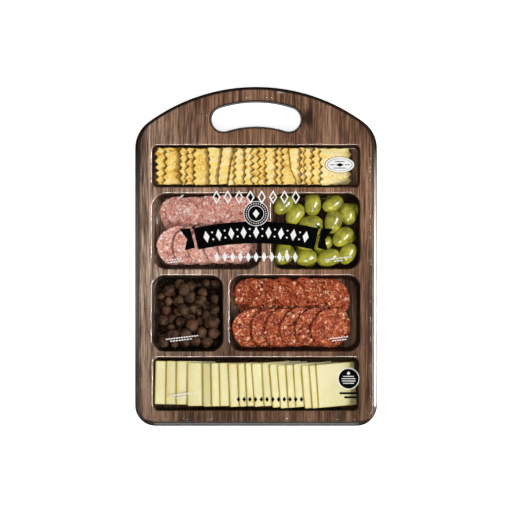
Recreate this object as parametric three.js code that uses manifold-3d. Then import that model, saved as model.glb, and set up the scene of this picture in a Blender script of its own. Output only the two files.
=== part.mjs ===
// Tasting board: a thin formed tray with an arched top and a handle slot, six food pockets,
// a clear film lid, and the crackers, sliced meats, olives, chocolates and cheese that fill it.
// Millimetres. +Z up, +Y towards the handle, origin under the middle of the tray.

import * as THREE from 'three';
import { mergeVertices } from 'three/addons/utils/BufferGeometryUtils.js';
import Module from 'manifold-3d';

const wasm = await Module();
wasm.setup();

// Board outline
const BOARD_WIDTH = 254;
const BOARD_LENGTH = 356;
const BOARD_HEIGHT = 32;
const FOOT_CORNER_RADIUS = 21.5;
const SHOULDER_RADIUS = 34;
const ARCH_RADIUS = 191;

// Formed sheet and lid
const SHEET = 1.2;
const FILM = 0.3;
const CLEARANCE = 0.3;
const TRAY_TOP = BOARD_HEIGHT - FILM - CLEARANCE;
const FLANGE_WIDTH = 3.4;
const EDGE_ROUND = 1.2;
const TOP_FACE_INSET = 5.2;
const ARCH_INSET_SHARE = 0.6;
const RIM_CHAMFER = 1.1;
const FILM_INSET = TOP_FACE_INSET + 0.5;

// Handle slot: a band of even width bent along an arc
const SLOT_BEND_RADIUS = 114;
const SLOT_HALF_SPAN = 34.2;
const SLOT_MIDDLE_Y = 148.9;
const SLOT_FOOT_HALF_WIDTH = 12.4;
const SLOT_MOUTH_HALF_WIDTH = 13.8;

// Pocket grid, measured up from the foot of the board
const POCKET_HALF_SPAN = 108.8;
const FOOT_MARGIN = 16.4;
const CHEESE_ROW = 55.6;
const MIDDLE_ROW = 79.2;
const CRACKER_ROW = 43.8;
const RIB = 6.7;
const UPPER_RIB_CENTRE_X = 10.9;
const UPPER_RIB_WIDTH = 10.4;
const LOWER_RIB_CENTRE_X = -31;
const LOWER_RIB_WIDTH = 7.3;
const FLOOR_RADIUS_SHARE = 0.85;

// Food sizes
const SALAMI_RADIUS = 22;
const SALAMI_THICKNESS = 2.2;
const SALAMI_SIDE_TILT = 18;
const SALAMI_BACK_TILT = 20;
const CHEESE_SIDE = 43.4;
const CHEESE_THICKNESS = 2.2;
const CHEESE_TILT = 25;
const CHEESE_CORNER_RADIUS = 2;
const CRACKER_LENGTH = 37.5;
const CRACKER_WIDTH = 39;
const CRACKER_THICKNESS = 1.9;
const CRACKER_TILT = 33;
const CRACKER_TEETH = 5;
const CRACKER_TOOTH_DEPTH = 1.3;
const OLIVE_HALF_LENGTH = 11.8;
const OLIVE_RADIUS = 8.6;
const CHOCOLATE_RADIUS = 5.6;

// Fineness of the faceted curves
const CORNER_STEPS = 4;
const OUTLINE_STEPS = 6;
const ARCH_STEPS = 20;
const SLOT_STEPS = 8;
const SALAMI_STEPS = 28;
const OLIVE_GRID = 4.4;
const CHOCOLATE_GRID = 4;

const radians = THREE.MathUtils.degToRad;

// ------------------------------------------------------------------------- outlines

// Points on a circular arc, both ends included.
function arc(centreX, centreY, radius, fromAngle, toAngle, steps) {
  return Array.from({ length: steps + 1 }, (_, step) => {
    const angle = fromAngle + ((toAngle - fromAngle) * step) / steps;
    return new THREE.Vector2(
      centreX + radius * Math.cos(angle),
      centreY + radius * Math.sin(angle),
    );
  });
}

// Rectangle with round corners, counter-clockwise.
function roundedRectangle({ left, right, foot, head }, radius, steps = CORNER_STEPS) {
  return [
    ...arc(right - radius, foot + radius, radius, -Math.PI / 2, 0, steps),
    ...arc(right - radius, head - radius, radius, 0, Math.PI / 2, steps),
    ...arc(left + radius, head - radius, radius, Math.PI / 2, Math.PI, steps),
    ...arc(left + radius, foot + radius, radius, Math.PI, 1.5 * Math.PI, steps),
  ];
}

// Board outline drawn in by inset, and by a smaller share of it along the arched top. Each shoulder
// is the arc that touches both the straight side and the wide arch.
function boardOutline(inset) {
  const halfWidth = BOARD_WIDTH / 2 - inset;
  const corner = FOOT_CORNER_RADIUS - inset;
  const cornerX = halfWidth - corner;
  const cornerY = FOOT_CORNER_RADIUS - BOARD_LENGTH / 2;
  const archCentreY = BOARD_LENGTH / 2 - ARCH_RADIUS;
  const archRadius = ARCH_RADIUS - inset * ARCH_INSET_SHARE;
  const shoulder = SHOULDER_RADIUS - inset;
  const shoulderX = halfWidth - shoulder;
  const shoulderRise = Math.sqrt((archRadius - shoulder) ** 2 - shoulderX ** 2);
  const shoulderY = archCentreY + shoulderRise;
  const archStart = Math.atan2(shoulderRise, shoulderX);
  return [
    ...arc(cornerX, cornerY, corner, -Math.PI / 2, 0, OUTLINE_STEPS),
    ...arc(shoulderX, shoulderY, shoulder, 0, archStart, OUTLINE_STEPS),
    ...arc(0, archCentreY, archRadius, archStart, Math.PI - archStart, ARCH_STEPS).slice(1, -1),
    ...arc(-shoulderX, shoulderY, shoulder, Math.PI - archStart, Math.PI, OUTLINE_STEPS),
    ...arc(-cornerX, cornerY, corner, Math.PI, 1.5 * Math.PI, OUTLINE_STEPS),
  ];
}

// Handle slot: two arcs about one centre, joined by a half circle at each end.
function slotOutline(halfWidth) {
  const centreY = SLOT_MIDDLE_Y - SLOT_BEND_RADIUS;
  const spread = Math.asin(SLOT_HALF_SPAN / SLOT_BEND_RADIUS);
  const rightAngle = Math.PI / 2 - spread;
  const leftAngle = Math.PI / 2 + spread;
  const endY = centreY + SLOT_BEND_RADIUS * Math.sin(rightAngle);
  const outer = arc(0, centreY, SLOT_BEND_RADIUS + halfWidth, rightAngle, leftAngle, SLOT_STEPS);
  const inner = arc(0, centreY, SLOT_BEND_RADIUS - halfWidth, leftAngle, rightAngle, SLOT_STEPS);
  const leftEnd = arc(-SLOT_HALF_SPAN, endY, halfWidth, leftAngle, leftAngle + Math.PI, SLOT_STEPS);
  const rightEnd = arc(SLOT_HALF_SPAN, endY, halfWidth, rightAngle - Math.PI, rightAngle, SLOT_STEPS);
  return [...outer, ...leftEnd.slice(1, -1), ...inner, ...rightEnd.slice(1, -1)];
}

// ------------------------------------------------------------------------- solids

// Closed solid through level rings that share one point count, given from the bottom up.
function loft(rings) {
  const count = rings[0].outline.length;
  const positions = rings.flatMap(({ z, outline }) => outline.flatMap(({ x, y }) => [x, y, z]));
  const indices = [];
  for (let ring = 0; ring + 1 < rings.length; ring += 1) {
    for (let point = 0; point < count; point += 1) {
      const next = (point + 1) % count;
      const low = ring * count;
      const high = low + count;
      indices.push(low + point, low + next, high + next);
      indices.push(low + point, high + next, high + point);
    }
  }
  const addCap = (ringIndex, facesUp) => {
    const outline = rings[ringIndex].outline;
    const first = ringIndex * count;
    for (const [a, b, c] of THREE.ShapeUtils.triangulateShape(outline, [])) {
      const turn = THREE.ShapeUtils.area([outline[a], outline[b], outline[c]]);
      const order = turn > 0 === facesUp ? [a, b, c] : [a, c, b];
      indices.push(...order.map((corner) => first + corner));
    }
  };
  addCap(0, false);
  addCap(rings.length - 1, true);
  const geometry = new THREE.BufferGeometry();
  geometry.setAttribute('position', new THREE.Float32BufferAttribute(positions, 3));
  geometry.setIndex(indices);
  return geometry;
}

// Flat slab of one outline, centred on z = 0.
function slab(outline, thickness) {
  return loft([
    { z: -thickness / 2, outline },
    { z: thickness / 2, outline },
  ]);
}

function toSolid(geometry) {
  const merged = mergeVertices(geometry);
  return new wasm.Manifold(new wasm.Mesh({
    numProp: 3,
    vertProperties: Float32Array.from(merged.attributes.position.array),
    triVerts: Uint32Array.from(merged.index.array),
  }));
}

function toGeometry(solid) {
  const mesh = solid.getMesh();
  const geometry = new THREE.BufferGeometry();
  geometry.setAttribute('position', new THREE.Float32BufferAttribute(mesh.vertProperties, 3));
  geometry.setIndex(Array.from(mesh.triVerts));
  return geometry;
}

// ------------------------------------------------------------------------- pockets

function grow({ left, right, foot, head }, amount) {
  return { left: left - amount, right: right + amount, foot: foot - amount, head: head + amount };
}

// One pocket: its mouth rectangle, corner radius, the height of its floor's underside, and how far
// its walls lean in on the way down.
function pocket(left, right, foot, depth, radius, floor, lean) {
  return { mouth: { left, right, foot, head: foot + depth }, radius, floor, lean };
}

const cheeseFoot = FOOT_MARGIN - BOARD_LENGTH / 2;
const lowerRowFoot = cheeseFoot + CHEESE_ROW + RIB;
const upperRowFoot = lowerRowFoot + MIDDLE_ROW + RIB;
const crackerFoot = upperRowFoot + MIDDLE_ROW + RIB;
const upperRibLeft = UPPER_RIB_CENTRE_X - UPPER_RIB_WIDTH / 2;
const upperRibRight = UPPER_RIB_CENTRE_X + UPPER_RIB_WIDTH / 2;
const lowerRibLeft = LOWER_RIB_CENTRE_X - LOWER_RIB_WIDTH / 2;
const lowerRibRight = LOWER_RIB_CENTRE_X + LOWER_RIB_WIDTH / 2;

const POCKETS = {
  crackers: pocket(-POCKET_HALF_SPAN, POCKET_HALF_SPAN, crackerFoot, CRACKER_ROW, 5.5, 4, 1.6),
  mildSalami: pocket(-POCKET_HALF_SPAN, upperRibLeft, upperRowFoot, MIDDLE_ROW, 15.5, 0, 3.4),
  olives: pocket(upperRibRight, POCKET_HALF_SPAN, upperRowFoot, MIDDLE_ROW, 12.5, 0, 3.4),
  chocolates: pocket(-POCKET_HALF_SPAN, lowerRibLeft, lowerRowFoot, MIDDLE_ROW, 13, 0, 3.4),
  spicedSalami: pocket(lowerRibRight, POCKET_HALF_SPAN, lowerRowFoot, MIDDLE_ROW, 12.5, 0, 3.4),
  cheese: pocket(-POCKET_HALF_SPAN + 1, POCKET_HALF_SPAN - 1, cheeseFoot, CHEESE_ROW, 5.8, 7, 2),
};

// Inner rectangle of a pocket at height z, leaning in evenly from its mouth to its floor.
function pocketSection({ mouth, floor, lean }, z) {
  const depth = TRAY_TOP - floor - SHEET;
  return grow(mouth, (-lean * (TRAY_TOP - z)) / depth);
}

function pocketSpace(place) {
  const bed = place.floor + SHEET;
  const floorRadius = place.radius * FLOOR_RADIUS_SHARE;
  const rim = roundedRectangle(grow(place.mouth, RIM_CHAMFER), place.radius + RIM_CHAMFER);
  return loft([
    { z: bed, outline: roundedRectangle(pocketSection(place, bed), floorRadius) },
    { z: TRAY_TOP - RIM_CHAMFER, outline: roundedRectangle(place.mouth, place.radius) },
    { z: TRAY_TOP, outline: rim },
    { z: TRAY_TOP + SHEET, outline: rim },
  ]);
}

function pocketShell(place) {
  const bed = place.floor + SHEET;
  const floorRadius = place.radius * FLOOR_RADIUS_SHARE + SHEET;
  const mouth = roundedRectangle(grow(place.mouth, SHEET), place.radius + SHEET);
  return loft([
    { z: place.floor, outline: roundedRectangle(grow(pocketSection(place, bed), SHEET), floorRadius) },
    { z: TRAY_TOP - SHEET / 2, outline: mouth },
  ]);
}

// ------------------------------------------------------------------------- tray and lid

// Outside of the formed sheet: a trimmed flange, a flared skirt and a rounded edge.
function trayOutside() {
  const skirtTop = TOP_FACE_INSET - EDGE_ROUND;
  return loft([
    { z: 0, outline: boardOutline(0) },
    { z: SHEET, outline: boardOutline(0) },
    { z: SHEET, outline: boardOutline(FLANGE_WIDTH) },
    { z: TRAY_TOP - EDGE_ROUND, outline: boardOutline(skirtTop) },
    { z: TRAY_TOP - EDGE_ROUND * 0.3, outline: boardOutline(skirtTop + EDGE_ROUND * 0.3) },
    { z: TRAY_TOP, outline: boardOutline(TOP_FACE_INSET) },
  ]);
}

function trayHollow() {
  const skirtTop = TOP_FACE_INSET - EDGE_ROUND;
  return loft([
    { z: -SHEET, outline: boardOutline(FLANGE_WIDTH + SHEET) },
    { z: TRAY_TOP - EDGE_ROUND, outline: boardOutline(skirtTop + SHEET) },
    { z: TRAY_TOP - SHEET, outline: boardOutline(TOP_FACE_INSET) },
  ]);
}

function slotCollar() {
  return loft([
    { z: 0, outline: slotOutline(SLOT_FOOT_HALF_WIDTH + SHEET) },
    { z: TRAY_TOP - SHEET / 2, outline: slotOutline(SLOT_MOUTH_HALF_WIDTH + SHEET) },
  ]);
}

function slotSpace() {
  return loft([
    { z: -SHEET, outline: slotOutline(SLOT_FOOT_HALF_WIDTH) },
    { z: TRAY_TOP - RIM_CHAMFER, outline: slotOutline(SLOT_MOUTH_HALF_WIDTH) },
    { z: TRAY_TOP, outline: slotOutline(SLOT_MOUTH_HALF_WIDTH + RIM_CHAMFER) },
    { z: TRAY_TOP + SHEET, outline: slotOutline(SLOT_MOUTH_HALF_WIDTH + RIM_CHAMFER) },
  ]);
}

function trayGeometry() {
  let solid = toSolid(trayOutside()).subtract(toSolid(trayHollow()));
  solid = solid.add(toSolid(slotCollar()));
  for (const place of Object.values(POCKETS)) {
    solid = solid.add(toSolid(pocketShell(place)));
  }
  solid = solid.subtract(toSolid(slotSpace()));
  for (const place of Object.values(POCKETS)) {
    solid = solid.subtract(toSolid(pocketSpace(place)));
  }
  return toGeometry(solid);
}

// Lid film: a thin sheet over the whole top face, with the handle slot cut out of it.
function lidGeometry() {
  const shape = new THREE.Shape(boardOutline(FILM_INSET));
  shape.holes.push(new THREE.Path(slotOutline(SLOT_MOUTH_HALF_WIDTH + 2 * RIM_CHAMFER)));
  return new THREE.ExtrudeGeometry(shape, { depth: FILM, bevelEnabled: false });
}

// ------------------------------------------------------------------------- sliced food

// Slightly uneven disc, so that no two slices are cut alike.
function salamiSlice(index) {
  const outline = Array.from({ length: SALAMI_STEPS }, (_, step) => {
    const angle = (2 * Math.PI * step) / SALAMI_STEPS;
    const unevenness = 0.35 * Math.sin(3 * angle + index) + 0.2 * Math.sin(5 * angle + 2 * index);
    const radius = SALAMI_RADIUS + unevenness;
    return new THREE.Vector2(radius * Math.cos(angle), radius * Math.sin(angle));
  });
  return slab(outline, SALAMI_THICKNESS);
}

// Rectangular crisp bread whose short ends are scalloped like a saw edge, its long edges nearly straight.
function crackerSlice(index) {
  const halfLength = CRACKER_LENGTH / 2;
  const halfWidth = CRACKER_WIDTH / 2;
  const steps = CRACKER_TEETH * 2;
  const side = (sign) => Array.from({ length: steps + 1 }, (_, step) => {
    const tooth = step % 2 === 1 ? CRACKER_TOOTH_DEPTH : 0;
    const drift = 0.6 * Math.sin(1.3 * step + index + sign);
    return new THREE.Vector2(
      sign * (halfLength - tooth - Math.abs(drift)),
      sign * (-halfWidth + (CRACKER_WIDTH * step) / steps),
    );
  });
  return slab([...side(1), ...side(-1)], CRACKER_THICKNESS);
}

function cheeseSlice() {
  const half = CHEESE_SIDE / 2;
  const square = { left: -half, right: half, foot: -half, head: half };
  return slab(roundedRectangle(square, CHEESE_CORNER_RADIUS, 2), CHEESE_THICKNESS);
}

// ------------------------------------------------------------------------- heaps

// Solid under a bumpy top: at each grid point the height is the top of the highest bump there. The
// grid fills a rounded pocket by drawing its outer cells in along the corners.
function heapGeometry(place, bumps, cell, baseHeight) {
  const bed = place.floor + SHEET + CLEARANCE;
  const edge = grow(pocketSection(place, bed), -CLEARANCE);
  const columns = Math.round((edge.right - edge.left) / cell);
  const rows = Math.round((edge.head - edge.foot) / cell);
  const halfX = (edge.right - edge.left) / 2;
  const halfY = (edge.head - edge.foot) / 2;
  const middleX = (edge.right + edge.left) / 2;
  const middleY = (edge.head + edge.foot) / 2;
  const radius = place.radius;
  const topAt = (x, y) => bumps.reduce((height, bump) => Math.max(height, bump(x, y)), baseHeight);
  const pull = (offset, half, other, otherHalf) => {
    const past = Math.max(0, Math.abs(other) - (otherHalf - radius));
    const limit = half - radius + Math.sqrt(radius ** 2 - Math.min(past, radius * 0.95) ** 2);
    return Math.sign(offset) * Math.min(Math.abs(offset), limit);
  };
  const positions = [];
  for (let row = 0; row <= rows; row += 1) {
    for (let column = 0; column <= columns; column += 1) {
      const flatX = halfX * ((2 * column) / columns - 1);
      const flatY = halfY * ((2 * row) / rows - 1);
      const x = middleX + pull(flatX, halfX, flatY, halfY);
      const y = middleY + pull(flatY, halfY, flatX, halfX);
      positions.push(x, y, topAt(x, y));
    }
  }
  const ring = [];
  for (let column = 0; column < columns; column += 1) ring.push(column);
  for (let row = 0; row < rows; row += 1) ring.push(row * (columns + 1) + columns);
  for (let column = columns; column > 0; column -= 1) ring.push(rows * (columns + 1) + column);
  for (let row = rows; row > 0; row -= 1) ring.push(row * (columns + 1));
  const firstLow = positions.length / 3;
  for (const index of ring) {
    positions.push(positions[3 * index], positions[3 * index + 1], bed);
  }
  const centre = positions.length / 3;
  positions.push(middleX, middleY, bed);
  const indices = [];
  for (let row = 0; row < rows; row += 1) {
    for (let column = 0; column < columns; column += 1) {
      const a = row * (columns + 1) + column;
      const b = a + columns + 1;
      indices.push(a, a + 1, b + 1, a, b + 1, b);
    }
  }
  ring.forEach((high, step) => {
    const nextStep = (step + 1) % ring.length;
    const low = firstLow + step;
    const nextLow = firstLow + nextStep;
    indices.push(low, nextLow, ring[nextStep], low, ring[nextStep], high);
    indices.push(centre, nextLow, low);
  });
  const geometry = new THREE.BufferGeometry();
  geometry.setAttribute('position', new THREE.Float32BufferAttribute(positions, 3));
  geometry.setIndex(indices);
  return geometry;
}

// Top of a lying ellipsoid: half lengths along and across, turned in the plane.
function ovalBump(centreX, centreY, centreZ, turn, halfLength, radius) {
  const cos = Math.cos(radians(turn));
  const sin = Math.sin(radians(turn));
  return (x, y) => {
    const along = ((x - centreX) * cos + (y - centreY) * sin) / halfLength;
    const across = ((y - centreY) * cos - (x - centreX) * sin) / radius;
    const rest = 1 - along ** 2 - across ** 2;
    return rest > 0 ? centreZ + radius * Math.sqrt(rest) : -Infinity;
  };
}

// The olives that lie on top: place and turn of each, and the height of its middle.
const OLIVES = [
  { x: 29, y: 54, z: 19, turn: 45 },
  { x: 41, y: 44, z: 15, turn: 57 },
  { x: 59.5, y: 54, z: 18, turn: 85 },
  { x: 80.5, y: 55, z: 18, turn: 30 },
  { x: 96, y: 44.5, z: 18, turn: -70 },
  { x: 81, y: 36.5, z: 20, turn: 75 },
  { x: 58, y: 34, z: 19, turn: 0 },
  { x: 91, y: 20.5, z: 19, turn: 40 },
  { x: 96, y: 3, z: 17, turn: 60 },
  { x: 76, y: -1.5, z: 18, turn: 17 },
  { x: 52.5, y: -1.5, z: 18, turn: 5 },
  { x: 28.5, y: 3.5, z: 17, turn: 80 },
  { x: 69, y: 14, z: 16, turn: 10 },
  { x: 33, y: 24, z: 18, turn: 60 },
  { x: 50, y: 16, z: 17, turn: -30 },
];

function oliveHeap() {
  const bumps = OLIVES.map(({ x, y, z, turn }) => (
    ovalBump(x, y, z, turn, OLIVE_HALF_LENGTH, OLIVE_RADIUS)
  ));
  return heapGeometry(POCKETS.olives, bumps, OLIVE_GRID, 10);
}

// Chocolates lie in staggered rows, each nudged a little from its place.
function chocolateHeap() {
  const place = POCKETS.chocolates;
  const pitch = 1.9 * CHOCOLATE_RADIUS;
  const { left, right, foot, head } = grow(pocketSection(place, place.floor + SHEET), -CHOCOLATE_RADIUS);
  const bumps = [];
  for (let row = 0, y = foot; y <= head; row += 1, y += 0.87 * pitch) {
    for (let column = 0, x = left + (row % 2) * 0.5 * pitch; x <= right; column += 1, x += pitch) {
      const nudge = Math.sin(7 * row + 3 * column);
      const lift = 17 + 3 * Math.sin(2.1 * column + 1.3 * row);
      bumps.push(ovalBump(x + nudge, y - nudge, lift, 0, CHOCOLATE_RADIUS, CHOCOLATE_RADIUS));
    }
  }
  return heapGeometry(place, bumps, CHOCOLATE_GRID, 14);
}

// ------------------------------------------------------------------------- scene graph

const plastic = new THREE.MeshStandardMaterial({ color: 0x7a6250, roughness: 0.5, metalness: 0 });
const clearFilm = new THREE.MeshStandardMaterial({ color: 0xf2f2f2, roughness: 0.1, metalness: 0 });
const crispBread = new THREE.MeshStandardMaterial({ color: 0xe0b868, roughness: 0.7, metalness: 0 });
const mildMeat = new THREE.MeshStandardMaterial({ color: 0xc48a7c, roughness: 0.5, metalness: 0 });
const spicedMeat = new THREE.MeshStandardMaterial({ color: 0xa0503a, roughness: 0.5, metalness: 0 });
const oliveSkin = new THREE.MeshStandardMaterial({ color: 0x8c8c3c, roughness: 0.3, metalness: 0 });
const darkChocolate = new THREE.MeshStandardMaterial({ color: 0x3e2d24, roughness: 0.6, metalness: 0 });
const yellowCheese = new THREE.MeshStandardMaterial({ color: 0xf0e6b0, roughness: 0.5, metalness: 0 });

const board = new THREE.Group();

function addPiece(name, geometry, material, parent = board) {
  const mesh = new THREE.Mesh(geometry, material);
  mesh.name = name;
  parent.add(mesh);
  return mesh;
}

function addTrayAndLid() {
  addPiece('tray', trayGeometry(), plastic);
  addPiece('lid_film', lidGeometry(), clearFilm).position.z = TRAY_TOP + CLEARANCE;
}

// A row of parallel slices, tilted alike. sideTilt lifts the left edges when positive, and backTilt
// lifts the edges towards the handle; swing turns each slice in its own plane.
function addShingles(prefix, slices, makeSlice, material, { y, z, sideTilt, backTilt = 0 }) {
  slices.forEach(({ x, swing = 0, shift = 0 }, index) => {
    const name = `${prefix}_${String(index + 1).padStart(2, '0')}`;
    const mesh = addPiece(name, makeSlice(index), material);
    mesh.position.set(x, y + shift, z);
    mesh.rotation.set(radians(backTilt), radians(sideTilt), radians(swing), 'XYZ');
  });
}

const places = (...centres) => centres.map((x) => ({ x }));

function addSalami() {
  const back = { z: 13, sideTilt: -SALAMI_SIDE_TILT, backTilt: SALAMI_BACK_TILT };
  const front = { z: 15.4, sideTilt: SALAMI_SIDE_TILT, backTilt: SALAMI_BACK_TILT };
  const mildBack = places(-80.5, -64, -47, -31, -17.8);
  const mildFront = places(-83.2, -67.2, -51, -33.5, -19);
  addShingles('mild_salami_back', mildBack, salamiSlice, mildMeat, { y: 42.6, ...back });
  addShingles('mild_salami_front', mildFront, salamiSlice, mildMeat, { y: 11.8, ...front });
  const spicedBack = places(-2.6, 13, 31.3, 51.3, 64.9, 78.1);
  const spicedFront = places(-4.2, 14.8, 29.2, 45.7, 61.9, 79);
  addShingles('spiced_salami_back', spicedBack, salamiSlice, spicedMeat, { y: -43.2, ...back });
  addShingles('spiced_salami_front', spicedFront, salamiSlice, spicedMeat, { y: -74.8, ...front });
}

// Cheese slices lie close, and most turn a little further than the one before. Each entry holds the
// slice's left edge, its turn, and how far it is pushed towards the handle.
function addCheese() {
  const layout = [
    [-105.2, -1.5, 1.2], [-93.1, -1, 1.3], [-82.5, -0.5, 1.3], [-70.9, 0, -0.3], [-54, 0.5, -0.6],
    [-46.2, 1, -0.3], [-37.5, 1.5, 0], [-27.4, 2.5, -0.4], [-17.6, 2.5, 0], [-9.9, 3, 0.4],
    [-2.7, 4.5, 0.4], [8.1, 3.2, 0.6], [16.1, 4.8, -0.4], [24.5, 4.8, -1.2], [33.2, 3.8, -0.9],
    [40.8, 3.8, -0.2], [49.7, 5.2, -1.2], [57.6, 5.2, -1.1], [64.4, 4.2, -0.8],
  ];
  const halfShadow = (CHEESE_SIDE / 2) * Math.cos(radians(CHEESE_TILT));
  const slices = layout.map(([edge, swing, shift]) => ({ x: edge + halfShadow, swing, shift }));
  const rise = (CHEESE_SIDE / 2) * Math.sin(radians(CHEESE_TILT));
  const z = POCKETS.cheese.floor + SHEET + rise + 2.4;
  const y = (POCKETS.cheese.mouth.foot + POCKETS.cheese.mouth.head) / 2;
  addShingles('cheese', slices, cheeseSlice, yellowCheese, { y, z, sideTilt: CHEESE_TILT });
}

function addCrackers() {
  const leftEdges = [
    -104, -95.5, -78.8, -65.1, -48.3, -37.9, -28.4, -11.6, -3.3, 10.4, 21.9, 32.4, 46, 59.7, 67,
  ];
  const halfShadow = (CRACKER_LENGTH / 2) * Math.cos(radians(CRACKER_TILT));
  const slices = leftEdges.map((edge, index) => ({
    x: edge + halfShadow,
    swing: 1.2 * Math.sin(2.4 * index),
    shift: 0.4 * Math.sin(1.7 * index),
  }));
  const rise = (CRACKER_LENGTH / 2) * Math.sin(radians(CRACKER_TILT));
  const z = POCKETS.crackers.floor + SHEET + rise + 1.8;
  const y = (POCKETS.crackers.mouth.foot + POCKETS.crackers.mouth.head) / 2;
  addShingles('cracker', slices, crackerSlice, crispBread, { y, z, sideTilt: CRACKER_TILT });
}

function addHeaps() {
  addPiece('olives', oliveHeap(), oliveSkin);
  addPiece('chocolates', chocolateHeap(), darkChocolate);
}

addTrayAndLid();
addCrackers();
addSalami();
addHeaps();
addCheese();

export default board;
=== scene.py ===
import logging
import math
from dataclasses import dataclass, field
from enum import Enum
from typing import Callable, Sequence

import bpy
import numpy as np
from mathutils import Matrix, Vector
from mathutils.geometry import delaunay_2d_cdt, tessellate_polygon


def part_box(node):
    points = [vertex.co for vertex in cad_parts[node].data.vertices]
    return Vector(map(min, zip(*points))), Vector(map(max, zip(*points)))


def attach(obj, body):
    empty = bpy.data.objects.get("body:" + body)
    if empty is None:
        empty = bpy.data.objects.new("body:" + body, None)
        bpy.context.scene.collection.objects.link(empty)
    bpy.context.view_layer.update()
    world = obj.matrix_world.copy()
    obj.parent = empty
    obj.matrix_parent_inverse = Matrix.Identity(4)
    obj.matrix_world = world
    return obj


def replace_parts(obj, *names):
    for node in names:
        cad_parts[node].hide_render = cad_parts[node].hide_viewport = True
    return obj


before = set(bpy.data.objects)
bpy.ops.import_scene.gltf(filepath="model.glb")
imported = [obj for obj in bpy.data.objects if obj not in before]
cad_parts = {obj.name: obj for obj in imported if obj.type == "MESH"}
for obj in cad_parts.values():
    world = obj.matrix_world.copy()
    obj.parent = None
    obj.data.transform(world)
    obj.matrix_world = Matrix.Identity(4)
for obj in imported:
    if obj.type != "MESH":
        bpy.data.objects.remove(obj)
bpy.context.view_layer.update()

log = logging.getLogger("tasting_board")

Array = np.ndarray
Pair = tuple[float, float]
Colour = tuple[float, float, float, float]
Shape = tuple[Array, list[Array]]
Socket = bpy.types.NodeSocket
Node = bpy.types.Node
Tree = bpy.types.NodeTree
Material = bpy.types.Material
Thing = bpy.types.Object
Wires = Socket | float | tuple

MM = 0.001
TURN = 2 * math.pi


# ============================================================ small helpers


def tone(red: int, green: int, blue: int) -> Colour:
    """A colour given by its display values from 0 to 255, as the linear values that shaders take.

    Args:
        red: Display value of red.
        green: Display value of green.
        blue: Display value of blue.

    Returns:
        Linear red, green and blue, and an alpha of one.
    """
    shares = np.array([red, green, blue]) / 255
    linear = np.where(shares <= 0.04045, shares / 12.92, ((shares + 0.055) / 1.055) ** 2.4)
    return (*(float(share) for share in linear), 1.0)


def arc(centre: Pair, radius: float, start: float, end: float, steps: int) -> Array:
    """Points of an arc, ends included: centre plus radius times (cos, sin) of angles in even steps."""
    angle = np.linspace(start, end, steps + 1)
    return np.stack([centre[0] + radius * np.cos(angle), centre[1] + radius * np.sin(angle)], axis=-1)


def rounded_rectangle(
    left: float, right: float, foot: float, head: float, radius: float, steps: int = 8,
) -> Array:
    """A rectangle with a quarter circle at each corner.

    Args:
        left: Its left side.
        right: Its right side.
        foot: Its near side.
        head: Its far side.
        radius: Radius of its corners.
        steps: Steps of each quarter circle.

    Returns:
        (points, 2) outline, counter-clockwise from the lower right corner.
    """
    corners = [(right - radius, foot + radius), (right - radius, head - radius)]
    corners += [(left + radius, head - radius), (left + radius, foot + radius)]
    starts = TURN / 4 * np.arange(-1, 3)
    return np.concatenate([
        arc(corner, radius, start, start + TURN / 4, steps) for corner, start in zip(corners, starts)
    ])


def finer(outline: Array, longest: float) -> Array:
    """The closed outline with points added on its straight stretches, so that they can bend.

    Args:
        outline: (points, 2) outline.
        longest: Longest step allowed.

    Returns:
        The finer outline.
    """
    following = np.roll(outline, -1, axis=0)
    steps = np.maximum(1, np.ceil(np.hypot(*(following - outline).T) / longest).astype(int))
    shares = [np.linspace(0, 1, count, endpoint=False)[:, None] for count in steps]
    return np.concatenate([a + (b - a) * share for a, b, share in zip(outline, following, shares)])


def grid_quads(rows: int, columns: int, wrap: bool = False) -> Array:
    """Quads between neighbouring points of a grid that is stored row after row.

    Args:
        rows: Number of rows of points.
        columns: Number of points in a row.
        wrap: Whether the last column joins the first.

    Returns:
        (quads, 4) point numbers.
    """
    row = np.arange(rows - 1)[:, None]
    column = np.arange(columns if wrap else columns - 1)[None, :]
    following = (column + 1) % columns
    near, far = row * columns, (row + 1) * columns
    return np.stack([near + column, near + following, far + following, far + column], axis=-1).reshape(-1, 4)


def waves(x: Array, y: Array, pitch: float, seed: int, count: int = 14) -> Array:
    """Smooth unevenness: the mean of plane waves with seeded directions and phases, each about pitch long.

    Args:
        x: First coordinate of each point, in metres.
        y: Second coordinate of each point.
        pitch: Typical distance between crests.
        seed: Seed of the directions and phases.
        count: Number of waves.

    Returns:
        Heights that mostly lie between -1 and 1.
    """
    draw = np.random.default_rng(seed)
    heading = draw.uniform(0, TURN, count)
    phase = draw.uniform(0, TURN, count)
    number = TURN / (pitch * draw.uniform(0.7, 1.5, count))
    along = x[..., None] * np.cos(heading) + y[..., None] * np.sin(heading)
    return np.sin(along * number + phase).sum(-1) * math.sqrt(2 / count) * 0.7


def turning(across: float = 0.0, sideways: float = 0.0, flat: float = 0.0) -> Array:
    """Rotation that first turns in the plane, then lifts the left edge, then lifts the far edge.

    Args:
        across: Lift of the far edge, in degrees about X.
        sideways: Lift of the left edge, in degrees about Y.
        flat: Turn in the plane, in degrees about Z.

    Returns:
        A 3 by 3 rotation matrix.
    """
    a, b, c = (math.radians(value) for value in (across, sideways, flat))
    about_x = np.array([[1, 0, 0], [0, math.cos(a), -math.sin(a)], [0, math.sin(a), math.cos(a)]])
    about_y = np.array([[math.cos(b), 0, math.sin(b)], [0, 1, 0], [-math.sin(b), 0, math.cos(b)]])
    about_z = np.array([[math.cos(c), -math.sin(c), 0], [math.sin(c), math.cos(c), 0], [0, 0, 1]])
    return about_x @ about_y @ about_z


def middle_of(node: str) -> Array:
    """Middle of a CAD node's box, in metres."""
    low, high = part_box(node)
    return (np.array(low) + np.array(high)) / 2


# ============================================================ surfaces


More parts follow.
